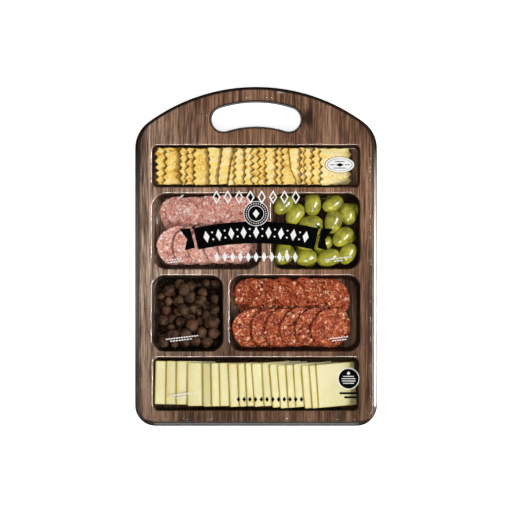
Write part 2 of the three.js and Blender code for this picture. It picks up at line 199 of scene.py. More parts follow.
@dataclass
class Surface:
    """Points, faces and point values of a piece before it becomes a mesh.

    Attributes:
        points: (points, 3) places in metres.
        faces: Arrays of quads or triangles.
        values: Named value of each point, which materials read as attributes.
    """

    points: Array
    faces: list[Array]
    values: dict[str, Array] = field(default_factory=dict)

    def placed(self, rotation: Array, place: Array) -> "Surface":
        """The surface turned about the origin by a 3 by 3 matrix, and then moved to place."""
        return Surface(self.points @ rotation.T + place, self.faces, self.values)

    @staticmethod
    def joined(parts: Sequence["Surface"]) -> "Surface":
        """Several surfaces as one, with their point numbers and values strung together.

        Args:
            parts: Surfaces that hold the same named values.

        Returns:
            One surface.
        """
        starts = np.cumsum([0] + [len(part.points) for part in parts[:-1]])
        faces = [face + start for part, start in zip(parts, starts) for face in part.faces]
        names = parts[0].values.keys()
        values = {name: np.concatenate([part.values[name] for part in parts]) for name in names}
        return Surface(np.concatenate([part.points for part in parts]), faces, values)

    def to_piece(self, name: str, finish: Material, slot: str, smooth: bool = True) -> Thing:
        """Puts the surface into a mesh that rides on the board.

        Args:
            name: Name of the piece.
            finish: Its material.
            slot: Name of the material slot that the finish stands for; it is only logged.
            smooth: Whether its faces are shaded as one curved surface.

        Returns:
            The new object.
        """
        mesh = bpy.data.meshes.new(name)
        corners = np.concatenate([face.ravel() for face in self.faces]).astype(np.int32)
        totals = np.concatenate([np.full(len(face), face.shape[1]) for face in self.faces]).astype(np.int32)
        starts = np.concatenate([[0], np.cumsum(totals)[:-1]]).astype(np.int32)
        mesh.vertices.add(len(self.points))
        mesh.vertices.foreach_set("co", self.points.astype(np.float32).ravel())
        mesh.loops.add(len(corners))
        mesh.loops.foreach_set("vertex_index", corners)
        mesh.polygons.add(len(totals))
        mesh.polygons.foreach_set("loop_start", starts)
        mesh.polygons.foreach_set("loop_total", totals)
        mesh.update(calc_edges=True)
        mesh.polygons.foreach_set("use_smooth", np.full(len(totals), smooth))
        for label, value in self.values.items():
            layer = mesh.attributes.new(label, "FLOAT", "POINT")
            layer.data.foreach_set("value", value.astype(np.float32).ravel())
        mesh.validate()
        mesh.materials.append(finish)
        piece = bpy.data.objects.new(name, mesh)
        bpy.context.scene.collection.objects.link(piece)
        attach(piece, "root")
        log.info("%s: %d points, slot %s", name, len(self.points), slot)
        return piece


def ring_strip(rings: Array, first: int) -> Array:
    """Quads between closed rings of points, of which the first starts at point number first."""
    return grid_quads(rings.shape[0], rings.shape[1], wrap=True) + first


def flat_fill(loops: Sequence[Array], firsts: Sequence[int]) -> Array:
    """Triangles that fill a level area inside the first loop and outside the others, facing up.

    Args:
        loops: (points, 2) outlines, the outer one first.
        firsts: Number of the first point of each outline.

    Returns:
        (triangles, 3) point numbers.
    """
    flat = np.concatenate(loops)
    numbers = np.concatenate([first + np.arange(len(loop)) for first, loop in zip(firsts, loops)])
    found = tessellate_polygon([[Vector((x, y, 0)) for x, y in loop] for loop in loops])
    triangles = np.array(found)
    a, b, c = (flat[triangles[:, corner]] for corner in range(3))
    area = np.cross(b - a, c - a)
    triangles[area < 0] = triangles[area < 0][:, ::-1]
    return numbers[triangles[np.abs(area) > 1e-14]]


def slab(
    outline: Array, thickness: float, rings: int, rounding: float,
    relief: Callable[[Array, Array, int], Array],
) -> Surface:
    """A slice: its outline drawn in to the middle in even rings, above and below, with a rounded rim.

    Each ring is the outline times a share from 0 to 1. Its height is half the thickness plus the
    relief there, and over the rim the share and the height follow a quarter circle.

    Args:
        outline: (points, 2) outline, counter-clockwise round the origin.
        thickness: Thickness of the slice.
        rings: Rings on each face.
        rounding: Radius of the rim's rounding.
        relief: Gives the height to add at x and y, for side 1 above or -1 below.

    Returns:
        A closed surface, with the value "rim" going from 0 on the faces to 1 on the rim.
    """
    size = np.abs(outline).max()
    inner = 1 - rounding / size
    share = np.concatenate([np.linspace(0, inner, rings + 1)[1:], [1 - 0.3 * rounding / size, 1.0]])
    half = 0.5 * thickness
    height = np.concatenate([np.full(rings, half), [half - 0.3 * rounding, half - rounding]])
    rim = np.concatenate([np.zeros(rings - 1), [0.3, 0.8, 1.0]])
    flat = share[:, None, None] * outline[None]
    sides = []
    for side in (1, -1):
        z = side * height[:, None] + relief(flat[..., 0], flat[..., 1], side)
        sides.append(np.concatenate([flat, z[..., None]], axis=-1))
    rows = np.concatenate([sides[0], sides[1][::-1]])
    count = outline.shape[0]
    middle = np.zeros(1)
    poles = np.array([[0, 0, side * half + relief(middle, middle, side)[0]] for side in (1, -1)])
    points = np.concatenate([rows.reshape(-1, 3), poles])
    step = np.arange(count)
    following = (step + 1) % count
    last = (len(rows) - 1) * count
    top, foot = len(points) - 2, len(points) - 1
    faces = [
        ring_strip(rows, 0)[:, ::-1],
        np.stack([np.full(count, top), step, following], axis=-1),
        np.stack([np.full(count, foot), last + following, last + step], axis=-1),
    ]
    values = np.concatenate([np.repeat(np.concatenate([rim, rim[::-1]]), count), np.zeros(2)])
    return Surface(points, faces, {"rim": values})


def ball(profile: Array, sides: int) -> Surface:
    """A closed body turned about X: the profile's radius carried round, with a point at each end.

    Args:
        profile: (steps, 2) places along X and radii, without the two end points on the axis.
        sides: Steps round the axis.

    Returns:
        A closed surface whose ends lie just past the profile's first and last places.
    """
    angle = np.linspace(0, TURN, sides, endpoint=False)
    x = np.repeat(profile[:, :1], sides, axis=1)
    rows = np.stack([x, profile[:, 1:] * np.cos(angle), profile[:, 1:] * np.sin(angle)], axis=-1)
    ends = np.array([[profile[0, 0], 0, 0], [profile[-1, 0], 0, 0]])
    step = np.arange(sides)
    following = (step + 1) % sides
    last = (len(rows) - 1) * sides
    near, far = len(rows) * sides, len(rows) * sides + 1
    faces = [
        ring_strip(rows, 0)[:, ::-1],
        np.stack([np.full(sides, near), following, step], axis=-1),
        np.stack([np.full(sides, far), last + step, last + following], axis=-1),
    ]
    return Surface(np.concatenate([rows.reshape(-1, 3), ends]), faces)


def scattered(
    shape: Surface, places: Array, rotations: Array, sizes: Array, values: dict[str, Array],
) -> Surface:
    """Many copies of one shape, each with its own size, turn and place, as one surface.

    Args:
        shape: The shape at the origin.
        places: (copies, 3) places.
        rotations: (copies, 3, 3) rotations.
        sizes: (copies, 3) stretch along each axis.
        values: One value for each copy, which all its points get.

    Returns:
        The joined surface.
    """
    sized = shape.points[None] * sizes[:, None, :]
    points = np.einsum("nij,npj->npi", rotations, sized) + places[:, None, :]
    starts = (np.arange(len(places)) * len(shape.points))[:, None, None]
    faces = [(face[None] + starts).reshape(-1, face.shape[1]) for face in shape.faces]
    spread = {name: np.repeat(value, len(shape.points)) for name, value in values.items()}
    return Surface(points.reshape(-1, 3), faces, spread)


# ============================================================ shader wiring


@dataclass
class Wiring:
    """Short hand for placing and joining the nodes of one node tree.

    Attributes:
        tree: The tree that is being wired.
    """

    tree: Tree

    def node(self, kind: str, settings: dict | None = None, **inputs: Wires) -> Node:
        """Adds a node, sets its options and fills its inputs.

        Args:
            kind: Node type without the words ShaderNode in front.
            settings: Options such as the operation.
            **inputs: Inputs by name, with _ for a space: a socket to join, or a value.

        Returns:
            The new node.
        """
        made = self.tree.nodes.new(f"ShaderNode{kind}")
        for name, value in (settings or {}).items():
            setattr(made, name, value)
        for name, value in inputs.items():
            self.feed(made.inputs[name.replace("_", " ")], value)
        return made

    def feed(self, socket: Socket, value: Wires) -> None:
        """Joins value to socket if it is a socket, or else sets it.

        Args:
            socket: The input.
            value: What it gets.
        """
        if isinstance(value, Socket):
            self.tree.links.new(value, socket)
        else:
            socket.default_value = value

    def fed(self, kind: str, settings: dict | None, *values: Wires) -> Socket:
        """Adds a node and fills its first inputs in order.

        Args:
            kind: Node type without the words ShaderNode in front.
            settings: Options such as the operation.
            *values: What its first inputs get: sockets to join, or values.

        Returns:
            The node's first output.
        """
        made = self.node(kind, settings)
        for socket, value in zip(made.inputs, values):
            self.feed(socket, value)
        return made.outputs[0]

    def sum(self, operation: str, first: Wires, second: Wires = 0.0) -> Socket:
        """Result of one sum on two numbers, such as MAXIMUM."""
        return self.fed("Math", {"operation": operation}, first, second)

    def vector(self, operation: str, first: Wires, second: Wires) -> Socket:
        """Result of one sum on two vectors, axis by axis."""
        return self.fed("VectorMath", {"operation": operation}, first, second)

    def plus(self, first: Wires, second: Wires) -> Socket:
        """First plus second."""
        return self.sum("ADD", first, second)

    def times(self, first: Wires, second: Wires) -> Socket:
        """First times second."""
        return self.sum("MULTIPLY", first, second)

    def rest(self, share: Wires) -> Socket:
        """What share leaves of one."""
        return self.sum("SUBTRACT", 1.0, share)

    def span(self, value: Wires, low: Wires, high: Wires, start: float = 0.0, end: float = 1.0) -> Socket:
        """Smoothly maps low to start and high to end, and holds still outside them."""
        return self.fed("MapRange", {"interpolation_type": "SMOOTHSTEP"}, value, low, high, start, end)

    def mix(self, share: Wires, first: Socket, second: Socket) -> Socket:
        """Two shaders, of which the second shows by share."""
        return self.fed("MixShader", None, share, first, second)

    def value(self, name: str) -> Socket:
        """One of the surface's named values."""
        return self.node("Attribute", {"attribute_name": name}).outputs["Fac"]

    def here(self) -> Socket:
        """The point's own place on the board."""
        return self.node("TexCoord").outputs["Object"]

    def part(self, vector: Wires, axis: str) -> Socket:
        """The X, Y or Z of a vector."""
        return self.node("SeparateXYZ", Vector=vector).outputs[axis]

    def bump(self, strength: float, distance: float, height: Wires) -> Socket:
        """The normal that a relief of this height gives."""
        return self.node("Bump", Strength=strength, Distance=distance, Height=height).outputs[0]

    def principled(self, colour: Wires, roughness: Wires, **inputs: Wires) -> Socket:
        """The standard shader."""
        return self.node("BsdfPrincipled", Base_Color=colour, Roughness=roughness, **inputs).outputs[0]

    def group(self, tree: Tree, **inputs: Wires) -> Node:
        """Places one of the shared groups and fills its inputs by name."""
        return self.node("Group", {"node_tree": tree}, **inputs)

    def blend(self, share: Wires, first: Wires, second: Wires, mode: str = "MIX") -> Socket:
        """Mix of two colours.

        Args:
            share: How much of the second colour shows.
            first: First colour.
            second: Second colour.
            mode: How they mix.

        Returns:
            The mixed colour's socket.
        """
        made = self.node("Mix", {"data_type": "RGBA", "blend_type": mode, "clamp_factor": True})
        for number, value in ((0, share), (6, first), (7, second)):
            self.feed(made.inputs[number], value)
        return made.outputs[2]

    def stretch(self, vector: Wires, scale: tuple[float, float, float]) -> Socket:
        """The vector times scale, axis by axis."""
        return self.node("Mapping", {"vector_type": "POINT"}, Vector=vector, Scale=scale).outputs[0]

    def noise(self, vector: Wires, scale: float, detail: float) -> Socket:
        """Value of a noise texture at vector."""
        return self.node("TexNoise", Vector=vector, Scale=scale, Detail=detail, Roughness=0.55).outputs[0]

    def ramp(self, value: Wires, stops: Sequence[tuple[float, Colour]]) -> Socket:
        """Colour that value picks from a row of stops.

        Args:
            value: Number from 0 to 1.
            stops: Place and colour of each stop, in order.

        Returns:
            The colour's socket.
        """
        made = self.node("ValToRGB", Fac=value)
        spots = made.color_ramp.elements
        for place, _ in stops[2:]:
            spots.new(place)
        for spot, (place, colour) in zip(spots, stops):
            spot.position, spot.color = place, colour
        return made.outputs[0]


def effect(name: str, inputs: dict[str, float], outputs: Sequence[str]) -> tuple[Wiring, Node, Node]:
    """Starts a node group that several finishes share. Its first input is a vector.

    Args:
        name: Name of the group.
        inputs: Number inputs and their first values.
        outputs: Number outputs.

    Returns:
        The group's wiring, and its input and output nodes.
    """
    tree = bpy.data.node_groups.new(name, "ShaderNodeTree")
    tree.interface.new_socket("Vector", in_out="INPUT", socket_type="NodeSocketVector")
    for label, value in inputs.items():
        socket = tree.interface.new_socket(label, in_out="INPUT", socket_type="NodeSocketFloat")
        socket.default_value = value
    for label in outputs:
        tree.interface.new_socket(label, in_out="OUTPUT", socket_type="NodeSocketFloat")
    return Wiring(tree), tree.nodes.new("NodeGroupInput"), tree.nodes.new("NodeGroupOutput")


@dataclass
class Effects:
    """The node groups that more than one finish uses, each built once.

    Attributes:
        grains: Uneven cells and specks, such as minced meat and fat.
        mottle: Slow patches mixed with fine ones.
    """

    grains: Tree = field(init=False)
    mottle: Tree = field(init=False)

    def __post_init__(self) -> None:
        """Builds every group."""
        self.grains = self.make_grains()
        self.mottle = self.make_mottle()

    @staticmethod
    def make_grains() -> Tree:
        """Cells of a warped Voronoi pattern with a random tone each; a share of them is picked as specks.

        Returns:
            The group.
        """
        inputs = {"Scale": 400, "Share": 0.3, "Warp": 0.0012, "Softness": 0.12}
        wire, given, result = effect("grains", inputs, ["Mask", "Tone", "Border"])
        vector, scale, share, warp, softness = given.outputs[:5]
        drift = wire.node("TexNoise", Vector=vector, Scale=420.0, Detail=2.0).outputs["Color"]
        centred = wire.vector("SUBTRACT", drift, (0.5, 0.5, 0.5))
        warped = wire.vector("ADD", vector, wire.vector("MULTIPLY", centred, warp))
        cells = wire.node("TexVoronoi", Vector=warped, Scale=scale).outputs["Color"]
        borders = wire.node("TexVoronoi", {"feature": "DISTANCE_TO_EDGE"}, Vector=warped, Scale=scale)
        border = borders.outputs["Distance"]
        random = wire.node("SeparateColor", Color=cells)
        chosen = wire.sum("LESS_THAN", random.outputs[0], share)
        edge = wire.times(random.outputs[1], 0.16)
        shape = wire.span(border, edge, wire.plus(edge, softness))
        wire.feed(result.inputs["Mask"], wire.times(chosen, shape))
        wire.feed(result.inputs["Tone"], random.outputs[2])
        wire.feed(result.inputs["Border"], wire.span(border, 0.0, 0.12))
        return wire.tree

    @staticmethod
    def make_mottle() -> Tree:
        """Two noises, coarse and fine, averaged by Mix and stretched to use the whole range.

        Returns:
            The group.
        """
        wire, given, result = effect("mottle", {"Coarse": 60, "Fine": 600, "Mix": 0.4}, ["Value"])
        vector, coarse_scale, fine_scale, mix = given.outputs[:4]
        coarse = wire.node("TexNoise", Vector=vector, Scale=coarse_scale, Detail=3.0).outputs[0]
        fine = wire.node("TexNoise", Vector=vector, Scale=fine_scale, Detail=2.0).outputs[0]
        mixed = wire.plus(wire.times(fine, mix), wire.times(coarse, wire.rest(mix)))
        wire.feed(result.inputs["Value"], wire.span(mixed, 0.32, 0.68))
        return wire.tree


@dataclass(frozen=True)
class Finish:
    """What every finish shares: its name, and the groups it may use.

    Attributes:
        name: Name of the material.
        effects: The shared node groups.
    """

    name: str
    effects: Effects

    def build(self) -> Material:
        """Makes the material, and leaves its colour and relief to wire_up.

        Returns:
            The material.
        """
        material = bpy.data.materials.new(self.name)
        material.use_nodes = True
        wire = Wiring(material.node_tree)
        material.node_tree.nodes.clear()
        output = wire.node("OutputMaterial")
        wire.feed(output.inputs["Surface"], self.wire_up(wire))
        return material

    def wire_up(self, wire: Wiring) -> Socket:
        """Wires the shader and returns its output. Each finish has its own."""
        raise NotImplementedError

    def mottle(self, wire: Wiring, coarse: float, fine: float, mix: float) -> Socket:
        """Value of the shared mottle: the scales of its two noises, and how they are mixed."""
        inputs = {"Coarse": coarse, "Fine": fine, "Mix": mix}
        return wire.group(self.effects.mottle, Vector=wire.here(), **inputs).outputs[0]

    def grains(self, wire: Wiring, scale: float, share: float, warp: float, softness: float) -> Node:
        """The shared grains: their scale, the share picked as specks, their warp and soft edge."""
        inputs = {"Scale": scale, "Share": share, "Warp": warp, "Softness": softness}
        return wire.group(self.effects.grains, Vector=wire.here(), **inputs)


@dataclass(frozen=True)
class WoodPrint(Finish):
    """Formed plastic printed with straight wood grain along the board, under a thin clear gloss.

    Attributes:
        grey: Tones of the left side, from the darkest streak to the lightest.
        brown: The same for the right side.
        knot: Tone of the knot.
        knot_place: Where the knot lies.
        pore_and_shade: Tone of the short pores, and of the painted shade that the bend value puts on the
            sheet.
        flange_light: Tone of the painted light on the flanges along the sides.
    """

    grey: tuple[Colour, ...] = (
        tone(60, 45, 36), tone(131, 107, 92), tone(172, 148, 128), tone(222, 200, 180),
    )
    brown: tuple[Colour, ...] = (tone(46, 29, 18), tone(96, 67, 49), tone(126, 92, 69), tone(162, 126, 100))
    knot: Colour = tone(34, 20, 12)
    knot_place: Pair = (54 * MM, 145 * MM)
    pore_and_shade: Colour = tone(20, 11, 6)
    flange_light: Colour = tone(236, 224, 212)

    def wire_up(self, wire: Wiring) -> Socket:
        """Streaks are noises squeezed across the board; a slower noise and the place set their tone.

        Args:
            wire: Wiring of the material.

        Returns:
            The shader's socket.
        """
        here = wire.here()
        fine = wire.noise(wire.stretch(here, (1.0, 0.035, 0.3)), 1300.0, 2.0)
        broad = wire.noise(wire.stretch(here, (1.0, 0.03, 0.3)), 300.0, 3.0)
        slow = wire.noise(wire.stretch(here, (1.0, 0.16, 0.3)), 42.0, 2.0)
        streaks = wire.plus(wire.times(fine, 0.42), wire.times(broad, 0.32))
        level = wire.span(wire.plus(streaks, wire.times(slow, 0.26)), 0.35, 0.65)
        stops = (0.0, 0.38, 0.66, 1.0)
        grey, brown = (wire.ramp(level, list(zip(stops, tones))) for tones in (self.grey, self.brown))
        wander = wire.times(wire.plus(slow, -0.5), 0.1)
        across, along = (wire.plus(wire.part(here, axis), wander) for axis in "XY")
        lean = wire.times(wire.sum("ABSOLUTE", wire.part(here, "Y")), 0.8)
        colour = wire.blend(wire.span(wire.plus(across, lean), -0.13, 0.09), grey, brown)
        # Darker towards the foot and past the arch's start, lightest a little above the middle.
        rise = wire.span(along, -0.13, 0.05, 0.76, 1.45)
        shade = wire.times(rise, wire.span(along, 0.08, 0.14, 1.0, 0.78))
        dim = wire.node("CombineColor", Red=shade, Green=shade, Blue=shade).outputs[0]
        colour = wire.blend(1.0, colour, dim, "MULTIPLY")
        pores = wire.span(wire.noise(wire.stretch(here, (1.0, 0.14, 0.3)), 1500.0, 1.0), 0.62, 0.7, 0.0, 0.5)
        colour = wire.blend(pores, colour, self.pore_and_shade)
        colour = wire.blend(self.knot_share(wire, broad), colour, self.knot)
        # Painted shade: the bend value darkens the skirt, the pocket walls and floors, the slot's collar and
        # the edge along the arch and the near side.
        bend = wire.value("bend")
        colour = wire.blend(wire.times(bend, 0.92), colour, self.pore_and_shade)
        # Painted light: the side flanges, which the stretch value marks, are painted paler, more towards the
        # far end.
        flange_light_share = wire.times(wire.value("stretch"), wire.span(along, -0.16, 0.02, 0.0, 0.82))
        colour = wire.blend(flange_light_share, colour, self.flange_light)
        up = wire.part(wire.node("NewGeometry").outputs["Normal"], "Z")
        return wire.principled(
            colour, wire.span(broad, 0.3, 0.7, 0.55, 0.42), Normal=wire.bump(0.12, 0.0002, fine), IOR=1.4,
            Coat_Weight=wire.times(wire.rest(bend), wire.span(up, 0.95, 0.995, 1.0, 0.22)),
            Coat_Roughness=0.12, Coat_IOR=1.7, Specular_IOR_Level=0.04,
        )

    def knot_share(self, wire: Wiring, ragged: Socket) -> Socket:
        """How strongly the knot shows: it fades with the distance from its middle, at a ragged edge.

        Args:
            wire: Wiring of the material.
            ragged: Noise that moves the edge.

        Returns:
            The share's socket.
        """
        x, y = self.knot_place
        flat = 0.55
        centred = wire.node(
            "Mapping", Vector=wire.here(), Location=(-x, -flat * y, 0), Scale=(1.0, flat, 0.0))
        reach = wire.node("VectorMath", {"operation": "LENGTH"})
        wire.feed(reach.inputs[0], centred.outputs[0])
        edge = wire.plus(reach.outputs["Value"], wire.times(wire.plus(ragged, -0.5), 0.006))
        return wire.span(edge, 0.002, 0.0075, 0.9, 0.0)


@dataclass(frozen=True)
class ClearFilm(Finish):
    """Thin clear film: what is under it shows straight through, and it mirrors more the flatter it is seen.

    Attributes:
        crease_glint_and_whitening: Tone of the painted glint along the creases, which stands also for the
            film's whitening where it is creased.
    """

    crease_glint_and_whitening: Colour = tone(250, 250, 246)

    def wire_up(self, wire: Wiring) -> Socket:
        """A Fresnel share of gloss over clear, seen from outside only, and a pale shader along the creases
        as a painted glint and whitening.

        Args:
            wire: Wiring of the material.

        Returns:
            The shader's socket.
        """
        bump = wire.bump(0.35, 0.002, wire.noise(wire.stretch(wire.here(), (1.0, 0.6, 1.0)), 26.0, 3.0))
        clear = wire.node("BsdfTransparent", Color=(1, 1, 1, 1)).outputs[0]
        gloss = wire.node("BsdfGlossy", Color=(1, 1, 1, 1), Roughness=0.07, Normal=bump).outputs[0]
        share = wire.node("Fresnel", IOR=1.14, Normal=bump).outputs[0]
        outside = wire.rest(wire.node("NewGeometry").outputs["Backfacing"])
        glazed = wire.mix(wire.times(share, outside), clear, gloss)
        # Painted glint: a pale diffuse shader along the creases, partly the whitening of creased film.
        pale = wire.node("BsdfDiffuse", Color=self.crease_glint_and_whitening).outputs[0]
        return wire.mix(wire.times(wire.value("crease"), 0.8), glazed, pale)


@dataclass(frozen=True)
class Ink(Finish):
    """Solid ink on the film, a touch uneven in tone."""

    deep: Colour = tone(0, 0, 0)
    thin: Colour = tone(5, 4, 4)

    def wire_up(self, wire: Wiring) -> Socket:
        """Two close tones mixed by a mottle.

        Args:
            wire: Wiring of the material.

        Returns:
            The shader's socket.
        """
        spots = self.mottle(wire, 90.0, 900.0, 0.5)
        colour = wire.blend(spots, self.deep, self.thin)
        return wire.principled(colour, wire.span(spots, 0.0, 1.0, 0.5, 0.62), Specular_IOR_Level=0.02)


@dataclass(frozen=True)
class CrispBread(Finish):
    """Baked crisp bread: pale crests and blisters, golden flats, and browner hollows and rims, partly
    painted light and shade, with a painted shadow under the next cracker's edge.
    """

    hollow: Colour = tone(186, 122, 14)
    golden: Colour = tone(255, 218, 112)
    pale: Colour = tone(255, 240, 182)
    toast: Colour = tone(206, 150, 40)
    crust_and_shadow: Colour = tone(92, 40, 0)

    def wire_up(self, wire: Wiring) -> Socket:
        """Tone follows the height value of the relief, partly as painted light and shade, and a mottle, with
        toasted spots and fine pores; the rim and the painted shadow take the crust tone.

        Args:
            wire: Wiring of the material.

        Returns:
            The shader's socket.
        """
        # Paler on the relief's crests and browner in its hollows: partly the bread's own bake, partly
        # painted light and shade.
        relief = wire.plus(
            wire.times(self.mottle(wire, 110.0, 620.0, 0.45), 0.45), wire.times(wire.value("height"), 0.55))
        level = wire.plus(relief, wire.times(wire.plus(wire.value("pale"), -0.5), 0.4))
        base = wire.ramp(level, [(0.08, self.hollow), (0.38, self.golden), (0.78, self.pale)])
        toasted = self.grains(wire, 300.0, 0.16, 0.003, 0.4).outputs["Mask"]
        colour = wire.blend(wire.times(toasted, 0.55), base, self.toast)
        # The rim is darkened, partly toasted crust and partly painted shade; the under value is a painted
        # shadow of the next cracker's raised edge.
        rim = wire.span(wire.value("rim"), 0.3, 1.0, 0.0, 0.5)
        shaded = wire.sum("MAXIMUM", rim, wire.times(wire.value("under"), 0.97))
        colour = wire.blend(shaded, colour, self.crust_and_shadow)
        pores = wire.noise(wire.here(), 900.0, 3.0)
        return wire.principled(
            colour, wire.span(pores, 0.3, 0.7, 0.62, 0.85), Normal=wire.bump(0.6, 0.0006, pores),
            Specular_IOR_Level=0.15, Subsurface_Weight=0.06, Subsurface_Scale=0.001,
        )


@dataclass(frozen=True)
class CuredMeat(Finish):
    """Sliced cured sausage: coarse minced lean in several tones, with large and small grains of fat.

    Attributes:
        lean: Tones of the lean grains, from the darkest to the lightest.
        fat: Tone of the large fat grains.
        stain: Warm tone of some of them.
        large: Share of the large cells that are fat.
        small: Share of the small cells that are fat.
    """

    lean: tuple[Colour, ...] = (tone(70, 10, 0), tone(154, 58, 28), tone(186, 88, 50), tone(218, 128, 80))
    fat: Colour = tone(250, 198, 160)
    stain: Colour = tone(226, 140, 94)
    large: float = 0.22
    small: float = 0.22

    def wire_up(self, wire: Wiring) -> Socket:
        """Each grain takes a lean tone at random, darker at its border; fat lies over them in two sizes; the
        rim takes a darker lean tone, partly painted shade.

        Args:
            wire: Wiring of the material.

        Returns:
            The shader's socket.
        """
        mince = self.grains(wire, 560.0, self.small, 0.003, 0.3)
        big = self.grains(wire, 330.0, self.large, 0.0036, 0.16)
        spots = self.mottle(wire, 130.0, 900.0, 0.4)
        level = wire.plus(wire.times(mince.outputs["Tone"], 0.6), wire.times(spots, 0.4))
        lean = wire.ramp(level, list(zip((0.12, 0.4, 0.65, 0.9), self.lean)))
        border = wire.times(wire.rest(mince.outputs["Border"]), 0.3)
        colour = wire.blend(border, lean, self.lean[0])
        fat = wire.blend(wire.span(big.outputs["Tone"], 0.45, 0.8), self.fat, self.stain)
        colour = wire.blend(wire.times(mince.outputs["Mask"], 0.8), colour, fat)
        colour = wire.blend(wire.times(big.outputs["Mask"], 0.95), colour, fat)
        # The rim takes a darker lean tone: partly the slice's own edge, partly painted shade.
        colour = wire.blend(wire.times(wire.value("rim"), 0.5), colour, self.lean[1])
        height = wire.plus(wire.times(big.outputs["Mask"], 0.6), mince.outputs["Tone"])
        return wire.principled(
            colour, wire.span(spots, 0.0, 1.0, 0.4, 0.62), Normal=wire.bump(0.55, 0.0005, height),
            Subsurface_Weight=0.06, Subsurface_Scale=0.001, Specular_IOR_Level=0.12,
        )


@dataclass(frozen=True)
class SlicedCheese(Finish):
    """Smooth pale cheese, with a deeper yellow rim: partly the cut edge's own tone, partly painted shade on
    the raised edges.
    """

    face: Colour = tone(217, 209, 150)
    patch: Colour = tone(209, 199, 132)
    cut: Colour = tone(232, 208, 88)

    def wire_up(self, wire: Wiring) -> Socket:
        """Faint patches over the face, the cut tone on the rim, and fine drag marks of the blade.

        Args:
            wire: Wiring of the material.

        Returns:
            The shader's socket.
        """
        face = wire.blend(self.mottle(wire, 45.0, 400.0, 0.3), self.face, self.patch)
        # The rim's deeper yellow is partly the cut's own tone and partly painted shade on each raised edge.
        colour = wire.blend(wire.value("rim"), face, self.cut)
        drag = wire.noise(wire.stretch(wire.here(), (0.1, 1.0, 1.0)), 700.0, 2.0)
        return wire.principled(
            colour, wire.span(drag, 0.3, 0.7, 0.42, 0.55), Normal=wire.bump(0.15, 0.0002, drag),
            Subsurface_Weight=0.35, Subsurface_Scale=0.004, Subsurface_Radius=(1.0, 0.8, 0.35),
        )


@dataclass(frozen=True)
class OliveSkin(Finish):
    """Green olive: yellow green to darker green from fruit to fruit, pale freckles and a wet shine."""

    bright: Colour = tone(200, 196, 66)
    dull: Colour = tone(122, 122, 30)
    freckle: Colour = tone(208, 200, 120)
    stem: Colour = tone(70, 62, 30)

    def wire_up(self, wire: Wiring) -> Socket:
        """Each fruit's own tone, a mottle, freckles, and the dark stem scar.

        Args:
            wire: Wiring of the material.

        Returns:
            The shader's socket.
        """
        spots = self.mottle(wire, 110.0, 500.0, 0.3)
        share = wire.plus(wire.times(wire.value("ripeness"), 0.3), wire.times(spots, 0.7))
        colour = wire.blend(wire.span(share, 0.05, 0.95), self.bright, self.dull)
        dots = self.grains(wire, 900.0, 0.3, 0.0004, 0.5).outputs["Mask"]
        colour = wire.blend(wire.times(dots, 0.35), colour, self.freckle)
        colour = wire.blend(wire.value("scar"), colour, self.stem)
        return wire.principled(
            colour, wire.span(spots, 0.0, 1.0, 0.22, 0.36),
            Normal=wire.bump(0.25, 0.0003, wire.noise(wire.here(), 300.0, 2.0)),
            Subsurface_Weight=0.12, Subsurface_Scale=0.003, Coat_Roughness=0.06, Coat_Weight=0.55,
        )


@dataclass(frozen=True)
class ChocolateCoat(Finish):
    """Dull dark chocolate with a dusty bloom, and painted shade deep in the heap.

    Attributes:
        deep: Tone without bloom, and of the painted shade.
        bloom: Tone under the most bloom.
        depth: Heights on the board below which the painted shade is darkest, and above which there is none.
    """

    deep: Colour = tone(26, 12, 5)
    bloom: Colour = tone(116, 82, 58)
    depth: Pair = (13 * MM, 22 * MM)

    def wire_up(self, wire: Wiring) -> Socket:
        """Each piece's own tone and a mottle, painted shade low in the heap, and a fine pitted relief.

        Args:
            wire: Wiring of the material.

        Returns:
            The shader's socket.
        """
        here = wire.here()
        spots = self.mottle(wire, 160.0, 900.0, 0.5)
        share = wire.plus(wire.times(wire.value("ripeness"), 0.22), wire.times(spots, 0.5))
        colour = wire.blend(wire.span(share, 0.02, 0.74), self.deep, self.bloom)
        # Painted shade: the lower a point lies in the heap, the darker it is painted.
        sunk = wire.span(wire.part(here, "Z"), *self.depth, 0.9, 0.0)
        return wire.principled(
            wire.blend(sunk, colour, self.deep), wire.span(spots, 0.0, 1.0, 0.46, 0.7),
            Normal=wire.bump(0.5, 0.0004, wire.noise(here, 700.0, 3.0)), Specular_IOR_Level=0.12,
        )


@dataclass(frozen=True)
class FloorPaint(Finish):
    """Plain pale floor, lit a little from below as a light table is."""

    pale: Colour = tone(250, 250, 250)
    glow: float = 0.8

    def wire_up(self, wire: Wiring) -> Socket:
        """One tone with no shine, and an even glow.

        Args:
            wire: Wiring of the material.

        Returns:
            The shader's socket.
        """
        return wire.principled(
            self.pale, 0.9, Specular_IOR_Level=0.1,
            Emission_Color=self.pale, Emission_Strength=self.glow,
        )


# ============================================================ tray


class PocketName(Enum):
    """The six pockets, by what they hold."""

    CRACKERS = "crackers"
    MILD_SALAMI = "mild_salami"
    OLIVES = "olives"
    CHOCOLATES = "chocolates"
    SPICED_SALAMI = "spiced_salami"
    CHEESE = "cheese"


# How dark each pocket's floor is painted: painted shade.
FLOOR_SHADES = {
    PocketName.CRACKERS: 0.3, PocketName.MILD_SALAMI: 0.5, PocketName.OLIVES: 0.75,
    PocketName.CHOCOLATES: 0.85, PocketName.SPICED_SALAMI: 0.1, PocketName.CHEESE: 0.6,
}


